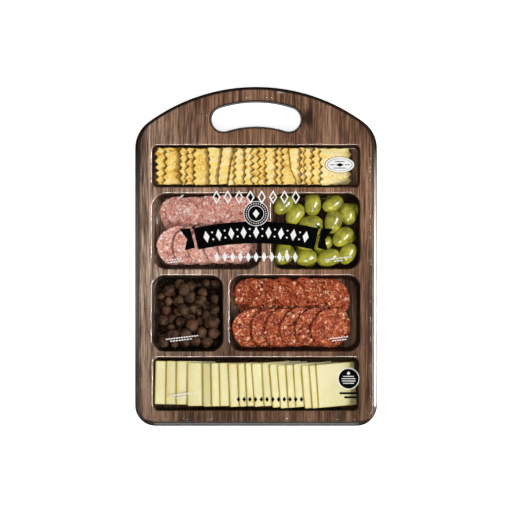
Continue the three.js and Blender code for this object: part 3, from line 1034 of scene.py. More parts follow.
@dataclass(frozen=True)
class Pocket:
    """One pocket of the tray, in metres.

    Attributes:
        left: Left side of its mouth.
        right: Right side of its mouth.
        foot: Near side of its mouth.
        head: Far side of its mouth.
        radius: Corner radius of its mouth.
        floor: Height of its floor's upper side.
        lean: How far its walls lean in from the mouth to the floor.
    """

    left: float
    right: float
    foot: float
    head: float
    radius: float
    floor: float
    lean: float

    def outline(self, inset: float) -> Array:
        """The mouth's rounded rectangle drawn in by inset, or out if it is negative."""
        sides = (self.left + inset, self.right - inset, self.foot + inset, self.head - inset)
        return rounded_rectangle(*sides, max(self.radius - 0.3 * inset, 2 * MM))


@dataclass
class Board:
    """Sizes of the tray and the outlines that the tray, its film and its print share.

    Attributes:
        corner_radius: Radius of the two near corners.
        shoulder_radius: Radius between the sides and the arch.
        arch_radius: Radius of the arch.
        arch_share: Share of an inset by which the arch moves in.
        slot_bend: Radius of the handle slot's middle line.
        slot_span: How far that line reaches to each side.
        slot_middle: How far up the board it lies.
        slot_foot: Half the slot's width at its foot.
        slot_mouth: Half its width at its mouth.
        foot_margin: From the near edge to the first pocket.
        rows: Length of each row of pockets, the cheese's first.
        rib: Width of the ribs between the rows.
        half_span: Half the width of a whole row.
        upper_rib: Sides of the rib between the pale salami and the olives.
        lower_rib: Sides of the rib between the chocolates and the red salami.
        sheet: Thickness of the sheet.
        width: Width of the board, which the CAD tray's box gives, as it does its length and the top's
            height.
        length: Its length.
        top: Height of its top.
        pockets: The pockets by what they hold.
    """

    corner_radius: float = 21.5 * MM
    shoulder_radius: float = 34 * MM
    arch_radius: float = 191 * MM
    arch_share: float = 0.6
    slot_bend: float = 114 * MM
    slot_span: float = 34.2 * MM
    slot_middle: float = 148.9 * MM
    slot_foot: float = 12.4 * MM
    slot_mouth: float = 13.8 * MM
    foot_margin: float = 16.4 * MM
    rows: tuple[float, ...] = (55.6 * MM, 79.2 * MM, 79.2 * MM, 43.8 * MM)
    rib: float = 6.7 * MM
    half_span: float = 108.8 * MM
    upper_rib: Pair = (5.7 * MM, 16.1 * MM)
    lower_rib: Pair = (-34.65 * MM, -27.35 * MM)
    sheet: float = 1.2 * MM
    width: float = field(init=False)
    length: float = field(init=False)
    top: float = field(init=False)
    pockets: dict[PocketName, Pocket] = field(init=False)

    def __post_init__(self) -> None:
        """Takes the board's width, length and height from the CAD tray's box, and lays out the pockets."""
        low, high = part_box("tray")
        self.width, self.length, self.top = high.x - low.x, high.y - low.y, high.z
        feet = [-self.length / 2 + self.foot_margin]
        for row in self.rows[:-1]:
            feet.append(feet[-1] + row + self.rib)
        heads = [foot + row for foot, row in zip(feet, self.rows)]
        span, upper, lower, sheet = self.half_span, self.upper_rib, self.lower_rib, self.sheet
        self.pockets = {
            PocketName.CHEESE: Pocket(
                1 * MM - span, span - 1 * MM, feet[0], heads[0], 5.8 * MM, 7 * MM + sheet, 2 * MM),
            PocketName.CHOCOLATES: Pocket(-span, lower[0], feet[1], heads[1], 13 * MM, sheet, 3.4 * MM),
            PocketName.SPICED_SALAMI: Pocket(lower[1], span, feet[1], heads[1], 12.5 * MM, sheet, 3.4 * MM),
            PocketName.MILD_SALAMI: Pocket(-span, upper[0], feet[2], heads[2], 15.5 * MM, sheet, 3.4 * MM),
            PocketName.OLIVES: Pocket(upper[1], span, feet[2], heads[2], 12.5 * MM, sheet, 3.4 * MM),
            PocketName.CRACKERS: Pocket(-span, span, feet[3], heads[3], 5.5 * MM, 4 * MM + sheet, 1.6 * MM),
        }

    def outline(self, inset: float) -> Array:
        """The board's outline drawn in by inset, less along the arch. Each shoulder touches side and arch.

        Args:
            inset: How far it is drawn in.

        Returns:
            (points, 2) outline, counter-clockwise from the lower right corner.
        """
        half = self.width / 2 - inset
        corner = self.corner_radius - inset
        corner_y = self.corner_radius - self.length / 2
        arch_y = self.length / 2 - self.arch_radius
        arch = self.arch_radius - inset * self.arch_share
        shoulder = self.shoulder_radius - inset
        shoulder_x = half - shoulder
        rise = math.sqrt((arch - shoulder) ** 2 - shoulder_x**2)
        lean = math.atan2(rise, shoulder_x)
        quarter, half_turn = TURN / 4, TURN / 2
        return np.concatenate([
            arc((half - corner, corner_y), corner, -quarter, 0, 12),
            arc((shoulder_x, arch_y + rise), shoulder, 0, lean, 12),
            arc((0, arch_y), arch, lean, half_turn - lean, 60)[1:-1],
            arc((-shoulder_x, arch_y + rise), shoulder, half_turn - lean, half_turn, 12),
            arc((corner - half, corner_y), corner, half_turn, 3 * quarter, 12),
        ])

    def slot(self, half_width: float) -> Array:
        """The handle slot: two arcs about one centre, joined by a half circle at each end.

        Args:
            half_width: Half the slot's width.

        Returns:
            (points, 2) outline, counter-clockwise.
        """
        centre_y = self.slot_middle - self.slot_bend
        spread = math.asin(self.slot_span / self.slot_bend)
        right, left = TURN / 4 - spread, TURN / 4 + spread
        end_y = centre_y + self.slot_bend * math.sin(right)
        return np.concatenate([
            arc((0, centre_y), self.slot_bend + half_width, right, left, 24),
            arc((-self.slot_span, end_y), half_width, left, left + TURN / 2, 16)[1:-1],
            arc((0, centre_y), self.slot_bend - half_width, left, right, 24),
            arc((self.slot_span, end_y), half_width, right - TURN / 2, right, 16)[1:-1],
        ])

    def in_slot(self, x: Array, y: Array, half_width: float) -> Array:
        """Whether points lie in the slot: nearer than half_width to its middle line.

        Args:
            x: First coordinates.
            y: Second coordinates.
            half_width: Half the slot's width.

        Returns:
            True for each point inside.
        """
        up = y - (self.slot_middle - self.slot_bend)
        spread = math.asin(self.slot_span / self.slot_bend)
        angle = np.clip(np.arctan2(x, up), -spread, spread)
        gap = np.hypot(x - self.slot_bend * np.sin(angle), up - self.slot_bend * np.cos(angle))
        return gap < half_width


@dataclass
class FormedTray:
    """The thin formed tray: flange, flared skirt, rounded edge, level top, six pockets and the handle slot.

    Attributes:
        board: The sizes it shares.
        flange: Width of the trimmed flange.
        edge: Radius of the rounded outer edge.
        top_inset: How far the level top lies inside the outline.
        rim: Radius of the pockets' rims.
        bed: Radius between a pocket's wall and its floor.
        slot_rim: Radius of the slot's rim.
        arch_start: Place along the board from which the edge is painted dark, as shade.
        arch_run: Length over which that painted shade grows.
        foot_line: Place along the board from which the near edge is painted dark, as shade.
    """

    board: Board
    flange: float = 3.4 * MM
    edge: float = 1.2 * MM
    top_inset: float = 5.2 * MM
    rim: float = 1.9 * MM
    bed: float = 2.6 * MM
    slot_rim: float = 1.1 * MM
    arch_start: float = 96 * MM
    arch_run: float = 16 * MM
    foot_line: float = -170 * MM

    def edge_rings(self) -> tuple[Array, Array]:
        """Rings from the flange's foot up the skirt and over the edge, which is a quarter circle.

        Returns:
            The rings, and how much painted shade each of them takes.
        """
        top, sheet = self.board.top, self.board.sheet
        skirt = self.top_inset - self.edge
        over = np.linspace(0, TURN / 4, 7)
        inset = np.concatenate([
            [0, 0, 0.15 * MM, self.flange - 0.5 * MM, self.flange + 0.1 * MM],
            skirt + self.edge * (1 - np.cos(over)), [self.top_inset + 0.5 * MM, self.top_inset + 1.3 * MM],
        ])
        height = np.concatenate([
            [0.15 * MM, sheet - 0.2 * MM, sheet, sheet, sheet + 0.5 * MM],
            top - self.edge * (1 - np.sin(over)), [top, top],
        ])
        rings = self.stacked([self.board.outline(at) for at in inset], height)
        # Painted shade: the skirt is dark, fading over the edge, and the whole edge is dark along the arch
        # and the near side.
        bend = np.concatenate([np.full(4, 0.1), [1, 1, 0.9, 0.5, 0.3], np.zeros(5)])[:, None]
        arched = np.clip((rings[..., 1] - self.arch_start) / self.arch_run, 0, 1)
        foot = 0.9 * np.clip((self.foot_line - rings[..., 1]) / (2 * MM), 0, 1)
        over_arch = np.concatenate([np.ones(12), [0.85, 0]])[:, None] * arched
        over_foot = np.concatenate([np.ones(10), [0.8, 0.6, 0.3, 0]])[:, None] * foot
        return rings, np.maximum(bend, np.maximum(over_arch, over_foot))

    def pocket_rings(self, pocket: Pocket, shade: float) -> tuple[Array, Array]:
        """Rings from the level top over the rim, down the leaning wall and round into the floor.

        Args:
            pocket: The pocket.
            shade: How dark its floor is painted, as painted shade.

        Returns:
            The rings, and how much painted shade each of them takes.
        """
        top = self.board.top
        over = np.linspace(0, TURN / 4, 6)
        wall_foot = pocket.floor + self.bed
        inset = np.concatenate([
            [-self.rim - 0.3 * MM], self.rim * (np.sin(over) - 1), [pocket.lean],
            pocket.lean + self.bed * (1 - np.cos(over[1:])), [pocket.lean + self.bed + 0.5 * MM],
        ])
        height = np.concatenate([
            [top], top - self.rim * (1 - np.cos(over)),
            [wall_foot], wall_foot - self.bed * np.sin(over[1:]), [pocket.floor],
        ])
        rings = self.stacked([pocket.outline(at) for at in inset], height)
        # Painted shade down the wall and over the floor; painted light keeps most of it off the left wall,
        # which faces the light.
        bend = np.concatenate([np.zeros(4), [0.1, 0.5, 1, 0.9], np.full(6, shade)])[:, None]
        lit = np.clip((pocket.left + 6 * MM - rings[..., 0]) / (3 * MM), 0, 1)
        return rings, bend * (1 - 0.85 * lit)

    def slot_rings(self) -> tuple[Array, Array]:
        """Rings from the level top over the slot's rim and down its collar to the foot.

        Returns:
            The rings, and how much painted shade each of them takes: the collar is painted dark.
        """
        board = self.board
        over = np.linspace(0, TURN / 4, 6)
        mouth = board.slot_mouth + self.slot_rim
        half = np.concatenate([[mouth + 0.3 * MM], mouth - self.slot_rim * np.sin(over), [board.slot_foot]])
        height = np.concatenate([[board.top], board.top - self.slot_rim * (1 - np.cos(over)), [0.15 * MM]])
        rings = self.stacked([board.slot(at) for at in half], height)
        # Painted shade down the slot's collar.
        bend = np.concatenate([[0, 0.6], np.ones(6)])[:, None]
        return rings, bend * np.ones(rings.shape[:2])

    @staticmethod
    def stacked(outlines: Sequence[Array], heights: Array) -> Array:
        """Rings of points: each outline at its own height."""
        rings = [np.column_stack([line, np.full(len(line), z)]) for line, z in zip(outlines, heights)]
        return np.stack(rings)

    def surface(self) -> Surface:
        """The upper side of the sheet: ring strips, with flat fills for the top and the pocket floors.

        Returns:
            One open surface whose edges are the flange's foot and the slot's foot.
        """
        rings_and_shade = [self.edge_rings(), self.slot_rings()]
        for name, pocket in self.board.pockets.items():
            rings_and_shade.append(self.pocket_rings(pocket, FLOOR_SHADES[name]))
        rings = [part for part, _ in rings_and_shade]
        firsts = np.cumsum([0] + [part.shape[0] * part.shape[1] for part in rings[:-1]])
        faces = [ring_strip(part, first) for part, first in zip(rings, firsts)]
        outer_first = firsts[0] + (rings[0].shape[0] - 1) * rings[0].shape[1]
        loops = [rings[0][-1][:, :2]] + [part[0][:, :2] for part in rings[1:]]
        faces.append(flat_fill(loops, [outer_first, *firsts[1:]]))
        for part, first in list(zip(rings, firsts))[2:]:
            floor_first = first + (part.shape[0] - 1) * part.shape[1]
            faces.append(flat_fill([part[-1][:, :2]], [floor_first]))
        # The painted shade of each ring, carried to its points as the bend value.
        bend = np.concatenate([(value * np.ones(part.shape[:2])).ravel() for part, value in rings_and_shade])
        points = np.concatenate([part.reshape(-1, 3) for part in rings])
        # Painted light: the flanges along the sides are marked to be painted paler, less where they take
        # painted shade.
        flange = (np.arange(len(points)) < 4 * rings[0].shape[1]) & (np.abs(points[:, 0]) > 0.12)
        return Surface(points, faces, {"bend": bend, "stretch": flange * (1 - bend)})

    def build(self, finish: Material) -> Thing:
        """Makes the tray as a sheet with its real thickness.

        Args:
            finish: The wood print.

        Returns:
            The tray.
        """
        piece = self.surface().to_piece("formed_tray", finish, "tray_plastic")
        wall = piece.modifiers.new("sheet", "SOLIDIFY")
        wall.thickness = self.board.sheet
        wall.offset = -1
        wall.use_rim = True
        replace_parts(piece, "tray")
        return piece


# ============================================================ film and print


@dataclass
class LidFilm:
    """The clear film over the whole top, pulled tight but sagging a little over each pocket.

    Attributes:
        board: The sizes it shares.
        inset: How far its edge lies inside the board's outline.
        gap: Its height over the tray's top.
        spacing: Distance between its inner points.
        sag: How deep it hangs over the widest pocket.
        thickness: Its thickness.
        creases: Start and end of each small crease, in millimetres.
        crease_height: Height of a crease.
        crease_width: Distance from its middle line at which it has fallen to a third.
    """

    board: Board
    inset: float = 5.7 * MM
    gap: float = 0.35 * MM
    spacing: float = 3.2 * MM
    sag: float = 0.8 * MM
    thickness: float = 0.1 * MM
    creases: tuple[tuple[float, ...], ...] = (
        (-93.5, -146.4, -64.5, -142.4), (-86, -148.6, -71, -146.8), (91, -173.2, 96.5, -171.6),
        (-80, 61.5, -76, 64.5), (22, 172, 30, 171.4),
    )
    crease_height: float = 0.4 * MM
    crease_width: float = 0.6 * MM

    def ridge(self, x: Array, y: Array) -> Array:
        """How strongly the film is creased: a bell curve across each crease, fading towards its ends.

        Args:
            x: First coordinates.
            y: Second coordinates.

        Returns:
            Shares from 0 to 1.
        """
        ridge = np.zeros_like(x)
        for crease in np.array(self.creases) * MM:
            start, run = crease[:2], crease[2:] - crease[:2]
            share = np.clip(((x - start[0]) * run[0] + (y - start[1]) * run[1]) / (run @ run), 0, 1)
            gap = np.hypot(x - start[0] - share * run[0], y - start[1] - share * run[1])
            ridge = np.maximum(ridge, (1 - (2 * share - 1) ** 4) * np.exp(-((gap / self.crease_width) ** 2)))
        return ridge

    def height(self, x: Array, y: Array) -> Array:
        """Height of the film: the top's, less a sag inside each pocket's mouth, plus the creases.

        Args:
            x: First coordinates.
            y: Second coordinates.

        Returns:
            Heights above the floor.
        """
        drop = np.zeros_like(x)
        for pocket in self.board.pockets.values():
            inside = np.minimum.reduce([x - pocket.left, pocket.right - x, y - pocket.foot, pocket.head - y])
            depth = np.clip(inside / (20 * MM), 0, 1)
            drop = np.maximum(drop, depth * depth * (3 - 2 * depth))
        ripple = waves(x, y * 0.6, 34 * MM, seed=5) * 0.12 * MM * drop
        return self.board.top + self.gap - self.sag * drop + ripple + self.crease_height * self.ridge(x, y)

    def crease_points(self) -> Array:
        """Extra points along each crease, in rows half a crease width apart, so that it has a shape.

        Returns:
            (points, 2) places.
        """
        rows = []
        for crease in np.array(self.creases) * MM:
            run = crease[2:] - crease[:2]
            length = np.hypot(*run)
            along = np.linspace(0, 1, max(3, int(length / self.crease_width)))
            across = np.linspace(-2, 2, 9) * self.crease_width
            side = np.array([-run[1], run[0]]) / length
            spread = along[:, None, None] * run + across[None, :, None] * side
            rows.append((crease[:2] + spread).reshape(-1, 2))
        return np.concatenate(rows)

    def build(self, finish: Material) -> Thing:
        """Makes the film from a point grid cut to the board's outline and the slot.

        Args:
            finish: The clear film finish.

        Returns:
            The film.
        """
        board = self.board
        edge = board.outline(self.inset)
        slot_half = board.slot_mouth + 2.6 * MM
        slot = board.slot(slot_half)
        x, y = np.meshgrid(*(np.arange(*ends, self.spacing) for ends in zip(edge.min(0), edge.max(0))))
        inner = np.concatenate([np.column_stack([x.ravel(), y.ravel()]), self.crease_points()])
        in_slot = board.in_slot(*inner.T, slot_half + 0.5 * self.spacing)
        loose = inner[self.inside(inner, edge, 0.5 * self.spacing) & ~in_slot]
        flat = np.concatenate([edge, slot, loose])
        borders = [np.arange(len(edge)), len(edge) + np.arange(len(slot))]
        joints = [(int(a), int(b)) for border in borders for a, b in zip(border, np.roll(border, -1))]
        found = delaunay_2d_cdt([Vector(point) for point in flat], joints, [], 0, 1e-7)
        points = np.array([tuple(point) for point in found[0]])
        triangles = np.array(found[2])
        middle = points[triangles].mean(1)
        open_slot = board.in_slot(*middle.T, slot_half - 0.1 * MM)
        triangles = triangles[self.inside(middle, edge, 0) & ~open_slot]
        a, b, c = (points[triangles[:, corner]] for corner in range(3))
        downward = np.cross(b - a, c - a) < 0
        triangles[downward] = triangles[downward][:, ::-1]
        solid = np.column_stack([points, self.height(*points.T)])
        marks = {"crease": self.ridge(*points.T)}
        piece = Surface(solid, [triangles], marks).to_piece("clear_film", finish, "lid_film")
        wall = piece.modifiers.new("film", "SOLIDIFY")
        wall.thickness = self.thickness
        wall.offset = -1
        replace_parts(piece, "lid_film")
        return piece

    @staticmethod
    def inside(points: Array, outline: Array, margin: float) -> Array:
        """Whether points lie inside a convex outline by at least margin.

        Args:
            points: (points, 2) places.
            outline: (corners, 2) convex outline, counter-clockwise.
            margin: Least distance to the outline.

        Returns:
            True for each point inside.
        """
        run = np.roll(outline, -1, axis=0) - outline
        long_enough = np.hypot(*run.T) > 1e-7
        start, run = outline[long_enough], run[long_enough]
        inward = np.column_stack([-run[:, 1], run[:, 0]]) / np.hypot(*run.T)[:, None]
        distance = ((points[:, None] - start[None]) * inward[None]).sum(-1)
        return distance.min(1) > margin


@dataclass
class Print:
    """The plain shapes printed on the film: a black ribbon, round seals, an oval and small rules.

    Attributes:
        film: The film they lie on.
        ribbon_top: Height on the board of the ribbon's upper edge at its middle.
        ribbon_width: Width of the ribbon.
        ribbon_radius: Radius of its upper edge.
        ribbon_spread: Half the ribbon's angle, in degrees.
        seal: Middle of the round seal over the ribbon.
        badge: Middle of the round badge over the cheese.
        oval: Middle of the oval over the crackers.
        captions: Middle of each small caption, and half the length of its two lines.
    """

    film: LidFilm
    ribbon_top: float = 36.6 * MM
    ribbon_width: float = 23 * MM
    ribbon_radius: float = 304.7 * MM
    ribbon_spread: float = 12.45
    seal: Pair = (0.0, 44.8 * MM)
    badge: Pair = (96.8 * MM, -128.1 * MM)
    oval: Pair = (87.7 * MM, 95.9 * MM)
    captions: tuple[tuple[float, ...], ...] = (
        (-86.1 * MM, -4.6 * MM, 8.4 * MM, 7 * MM), (86 * MM, -3.3 * MM, 14.5 * MM, 4.7 * MM),
        (-78.8 * MM, -86.4 * MM, 18.9 * MM, 11.8 * MM), (86.9 * MM, -86.4 * MM, 10.1 * MM, 7.9 * MM),
    )

    def lay(self, name: str, flat: Array, faces: list[Array], ink: Material, slot: str, level: int) -> None:
        """Lays a flat shape on the film.

        Args:
            name: Name of the piece.
            flat: (points, 2) places.
            faces: Its faces.
            ink: Its ink.
            slot: Material slot.
            level: How many layers of ink lie under it.
        """
        z = self.film.height(flat[:, 0], flat[:, 1]) + (0.06 + 0.05 * level) * MM
        piece = Surface(np.column_stack([flat, z]), faces).to_piece(name, ink, slot, smooth=False)
        wall = piece.modifiers.new("ink", "SOLIDIFY")
        wall.thickness = 0.03 * MM
        wall.offset = -1
        piece.visible_shadow = False

    @staticmethod
    def band(start: Array, end: Array) -> Shape:
        """A strip between two curves with the same number of points.

        Args:
            start: (points, 2) curve along the strip's foot, from left to right.
            end: (points, 2) curve along its head.

        Returns:
            Its points and faces.
        """
        share = np.linspace(0, 1, 7)[:, None, None]
        rows = start[None] * (1 - share) + end[None] * share
        return rows.reshape(-1, 2), [grid_quads(rows.shape[0], rows.shape[1])]

    @staticmethod
    def disc(centre: Pair, half: Pair, hollow: float = 0.0, steps: int = 72) -> Shape:
        """An oval or an oval ring: rings of the oval from share hollow to share 1 of its half sizes.

        Args:
            centre: Its middle.
            half: Its half width and half height.
            hollow: Share of its size that is left open in the middle.
            steps: Steps round it.

        Returns:
            Its points and faces.
        """
        share = np.linspace(max(hollow, 0.02), 1, 6)[:, None]
        angle = np.linspace(0, TURN, steps, endpoint=False)[None]
        x = centre[0] + half[0] * share * np.cos(angle)
        y = centre[1] + half[1] * share * np.sin(angle)
        return np.stack([x, y], axis=-1).reshape(-1, 2), [grid_quads(len(share), steps, wrap=True)[:, ::-1]]

    def ribbon_point(self, angle: Array | float, depth: float) -> Array:
        """Places on the ribbon: depth below its upper edge, at an angle from its middle.

        Args:
            angle: Angles from the middle, in degrees, positive to the right.
            depth: Distance below the upper edge.

        Returns:
            (points, 2) places.
        """
        radius = self.ribbon_radius - depth
        turn = np.radians(angle)
        centre_y = self.ribbon_top - self.ribbon_radius
        return np.stack([radius * np.sin(turn), centre_y + radius * np.cos(turn)], axis=-1)

    def build(self, black: Material, white: Material) -> None:
        """Makes every printed shape.

        Args:
            black: The black ink.
            white: The white ink.
        """
        turn = np.linspace(-self.ribbon_spread, self.ribbon_spread, 61)
        ribbon = self.band(self.ribbon_point(turn, self.ribbon_width), self.ribbon_point(turn, 0.0))
        self.lay("print_ribbon", *ribbon, black, "print_black", 0)
        for side, label in ((-1, "left"), (1, "right")):
            self.build_tail(side, label, black)
        self.lay("print_seal", *self.disc(self.seal, (12.5 * MM, 12.5 * MM)), black, "print_black", 1)
        self.lay("print_badge", *self.disc(self.badge, (10.3 * MM, 10.3 * MM)), black, "print_black", 0)
        self.lay("print_oval", *self.disc(self.oval, (15.2 * MM, 8 * MM)), white, "print_white", 0)
        self.build_trim("print_trim", self.white_shapes(), white, "print_white")
        self.build_trim("print_rules", self.black_shapes(), black, "print_black")

    def build_trim(self, name: str, shapes: Sequence[Shape], ink: Material, slot: str) -> None:
        """Lays many small shapes as one piece, over all other ink."""
        whole = Surface.joined([Surface(flat, faces) for flat, faces in shapes])
        self.lay(name, whole.points, whole.faces, ink, slot, 3)

    def build_tail(self, side: int, label: str, ink: Material) -> None:
        """One folded end of the ribbon: a swallow tail whose outer side is notched in its middle.

        Args:
            side: -1 for left, 1 for right.
            label: Word for the piece's name.
            ink: Its ink.
        """
        share = np.linspace(0, 1, 9)
        notch = 5.2 * MM * (1 - np.abs(2 * share - 1))
        outer = np.column_stack([-(80.2 - 5.4 * share) * MM + notch, (28.8 - 22.4 * share) * MM])
        inner = np.column_stack([-(69 - 5 * share) * MM, (29.6 - 20.6 * share) * MM])
        fold = np.array([[-69, 29.6], [-65.6, 28.9], [-61.2, 34.6]]) * MM
        flat, faces = self.band(outer[::-1], inner[::-1])
        points = np.concatenate([flat, fold])
        faces = [face[:, ::-1] for face in faces] + [len(flat) + np.array([[0, 1, 2]])]
        if side > 0:
            points = points * (-1, 1)
            faces = [face[:, ::-1] for face in faces]
        self.lay(f"print_tail_{label}", points, faces, ink, "print_black", 0)

    def white_shapes(self) -> list[Shape]:
        """White trim: lozenges and dots along the ribbon and in two rows, seal marks and captions.

        Returns:
            Points and faces of each shape.
        """
        shapes: list[Shape] = []
        for angle in np.linspace(-10.2, 10.2, 9):
            middle = self.ribbon_point(angle, self.ribbon_width / 2)
            shapes.append(self.lozenge(middle, (3.2 * MM, 6.2 * MM), math.radians(-angle)))
        for angle in np.linspace(-8.925, 8.925, 8):
            for depth in (0.34, 0.66):
                middle = self.ribbon_point(angle, self.ribbon_width * depth)
                shapes.append(self.disc(tuple(middle), (0.95 * MM, 0.95 * MM), steps=16))
        for x in np.linspace(-41.5, 41.5, 8):
            shapes.append(self.lozenge((x * MM, 62 * MM), (4.4 * MM, 7.4 * MM), hollow=0.62))
        for x in np.linspace(-41, 41, 11):
            shapes.append(self.lozenge((x * MM, -0.6 * MM), (2.7 * MM, 5.4 * MM)))
        for x in np.linspace(-36.9, 36.9, 10):
            shapes.append(self.disc((x * MM, -0.6 * MM), (0.8 * MM, 0.8 * MM), steps=14))
        shapes += self.seal_marks()
        for x, y, upper, lower in self.captions:
            shapes += self.caption((x, y), upper, 1.3 * MM) + self.caption((x, y), lower, -1.3 * MM)
        return shapes

    def caption(self, middle: Pair, half: float, rise: float) -> list[Shape]:
        """One line of a caption: short rules in a row on a line that climbs a little.

        Args:
            middle: Middle of the caption.
            half: Half the line's length.
            rise: How far the line lies above the middle.

        Returns:
            Points and faces of each rule.
        """
        turn = 0.12
        count = max(2, round(half / (1.4 * MM)))
        step = 2 * half / count
        spots = (np.arange(count) + 0.5) * step - half
        places = np.column_stack([spots, np.full(count, rise)]) @ self.turned(turn).T
        return [self.rule(tuple(middle + place), (0.36 * step, 0.62 * MM), turn) for place in places]

    def seal_marks(self) -> list[Shape]:
        """Marks on the seal and the badge: rings, a round of dots, lozenges and short rules.

        Returns:
            Points and faces of each shape.
        """
        shapes = [self.disc(self.seal, (8.4 * MM, 8.4 * MM), hollow=0.93)]
        shapes.append(self.lozenge(self.seal, (3.4 * MM, 4.6 * MM)))
        for step in range(28):
            turn = TURN * step / 28
            spot = (self.seal[0] + 10.4 * MM * math.cos(turn), self.seal[1] + 10.4 * MM * math.sin(turn))
            shapes.append(self.disc(spot, (0.5 * MM, 0.7 * MM), steps=10))
        for centre, radius in ((self.badge, 11.3 * MM), (self.seal, 13.1 * MM)):
            shapes.append(self.disc(centre, (radius, radius), hollow=1 - 0.7 * MM / radius))
        shapes.append(self.lozenge(np.array(self.badge) + (0, 5.6 * MM), (1.9 * MM, 1.9 * MM)))
        for row, half in enumerate((5.6, 7.2, 7.2, 5.8)):
            middle = (self.badge[0], self.badge[1] + (2.4 - 2.4 * row) * MM)
            shapes.append(self.rule(middle, (half * MM, 0.4 * MM)))
        return shapes

    def black_shapes(self) -> list[Shape]:
        """Black trim: thin rings and rules on the oval, and rules and lozenges over the cheese.

        Returns:
            Points and faces of each shape.
        """
        x, y = self.oval
        shapes = [self.disc(self.oval, (15.9 * MM, 8.7 * MM), hollow=0.955)]
        shapes.append(self.disc(self.oval, (13.2 * MM, 6.4 * MM), hollow=0.96))
        shapes.append(self.lozenge(self.oval, (4.2 * MM, 2 * MM)))
        for across, up, half in ((0, 3.4, 5), (0, -3.4, 6.4), (-8, 0, 2.6), (8, 0, 2.6)):
            shapes.append(self.rule((x + across * MM, y + up * MM), (half * MM, 0.35 * MM)))
        for across in np.linspace(-18.5, 47.5, 12):
            shapes.append(self.lozenge((across * MM, -149.8 * MM), (1.9 * MM, 2.9 * MM)))
        shapes.append(self.rule((97 * MM, -143.3 * MM), (9.6 * MM, 1.1 * MM)))
        shapes.append(self.rule((99.4 * MM, -147.6 * MM), (7 * MM, 1.1 * MM)))
        return shapes

    def rule(self, middle: Pair, half: Pair, turn: float = 0.0) -> Shape:
        """A straight rule with square ends, turned.

        Args:
            middle: Its middle.
            half: Its half length and half thickness.
            turn: Its turn, in radians.

        Returns:
            Its points and faces.
        """
        x = np.linspace(-half[0], half[0], 5)
        edges = [np.column_stack([x, np.full(5, y)]) for y in (-half[1], half[1])]
        return self.band(*(edge @ self.turned(turn).T + middle for edge in edges))

    @staticmethod
    def turned(turn: float) -> Array:
        """The rotation in the plane by an angle in radians."""
        return np.array([[math.cos(turn), -math.sin(turn)], [math.sin(turn), math.cos(turn)]])

    @staticmethod
    def lozenge(middle: Pair | Array, half: Pair, turn: float = 0.0, hollow: float = 0.0) -> Shape:
        """A diamond, turned, or a diamond ring.

        Args:
            middle: Its middle.
            half: Its half width and half height.
            turn: Its turn, in radians.
            hollow: Share of its size that is open.

        Returns:
            Its points and faces.
        """
        level = np.array([[half[0], 0], [0, half[1]], [-half[0], 0], [0, -half[1]]])
        corners = level @ Print.turned(turn).T
        if not hollow:
            return corners + middle, [np.array([[0, 1, 2, 3]])]
        return np.concatenate([corners * hollow, corners]) + middle, [grid_quads(2, 4, wrap=True)[:, ::-1]]


# ============================================================ sliced food


@dataclass
class SalamiRow:
    """One row of overlapping salami slices.

    Attributes:
        prefix: Start of the CAD nodes' names.
        count: Number of slices.
        side_tilt: Lift of their left edges, in degrees; the right edges rise if it is negative.
        slot: Material slot.
        seed: Seed of their unevenness.
        radius: Radius of a slice.
        thickness: Thickness of a slice.
        back_tilt: Lift of their far edges, in degrees.
    """

    prefix: str
    count: int
    side_tilt: float
    slot: str
    seed: int
    radius: float = 22 * MM
    thickness: float = 2.2 * MM
    back_tilt: float = 20.0

    def slice(self, index: int) -> Surface:
        """One slice: a circle with a small unevenness in its radius, slightly cupped and rippled.

        Args:
            index: Which slice.

        Returns:
            The slice, level at the origin.
        """
        angle = np.linspace(0, TURN, 144, endpoint=False)
        uneven = 0.4 * np.sin(3 * angle + index) + 0.25 * np.sin(5 * angle + 2 * index)
        fine = sum(0.17 * np.sin(order * angle + order * index) for order in (11, 17, 23, 31))
        radius = self.radius + (uneven + fine - 0.3) * MM
        outline = np.column_stack([radius * np.cos(angle), radius * np.sin(angle)])
        key = self.seed + index

        def relief(x: Array, y: Array, side: int) -> Array:
            """Slow bend shared by both faces, and a fine relief on each."""
            bend = 0.4 * MM * waves(x, y, 46 * MM, key) - 0.5 * MM * (np.hypot(x, y) / self.radius) ** 2
            return bend + side * 0.16 * MM * waves(x, y, 3.2 * MM, key + 50, 30)

        return slab(outline, self.thickness, 22, 0.5 * MM, relief)

    def build(self, finish: Material) -> None:
        """Makes each slice where its CAD node lies.

        Args:
            finish: The meat's finish.
        """
        for index in range(self.count):
            node = f"{self.prefix}_{index + 1:02d}"
            place = middle_of(node) - (0, 0, 0.3 * MM)
            made = self.slice(index).placed(turning(self.back_tilt, self.side_tilt), place)
            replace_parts(made.to_piece(f"{node}_slice", finish, self.slot), node)


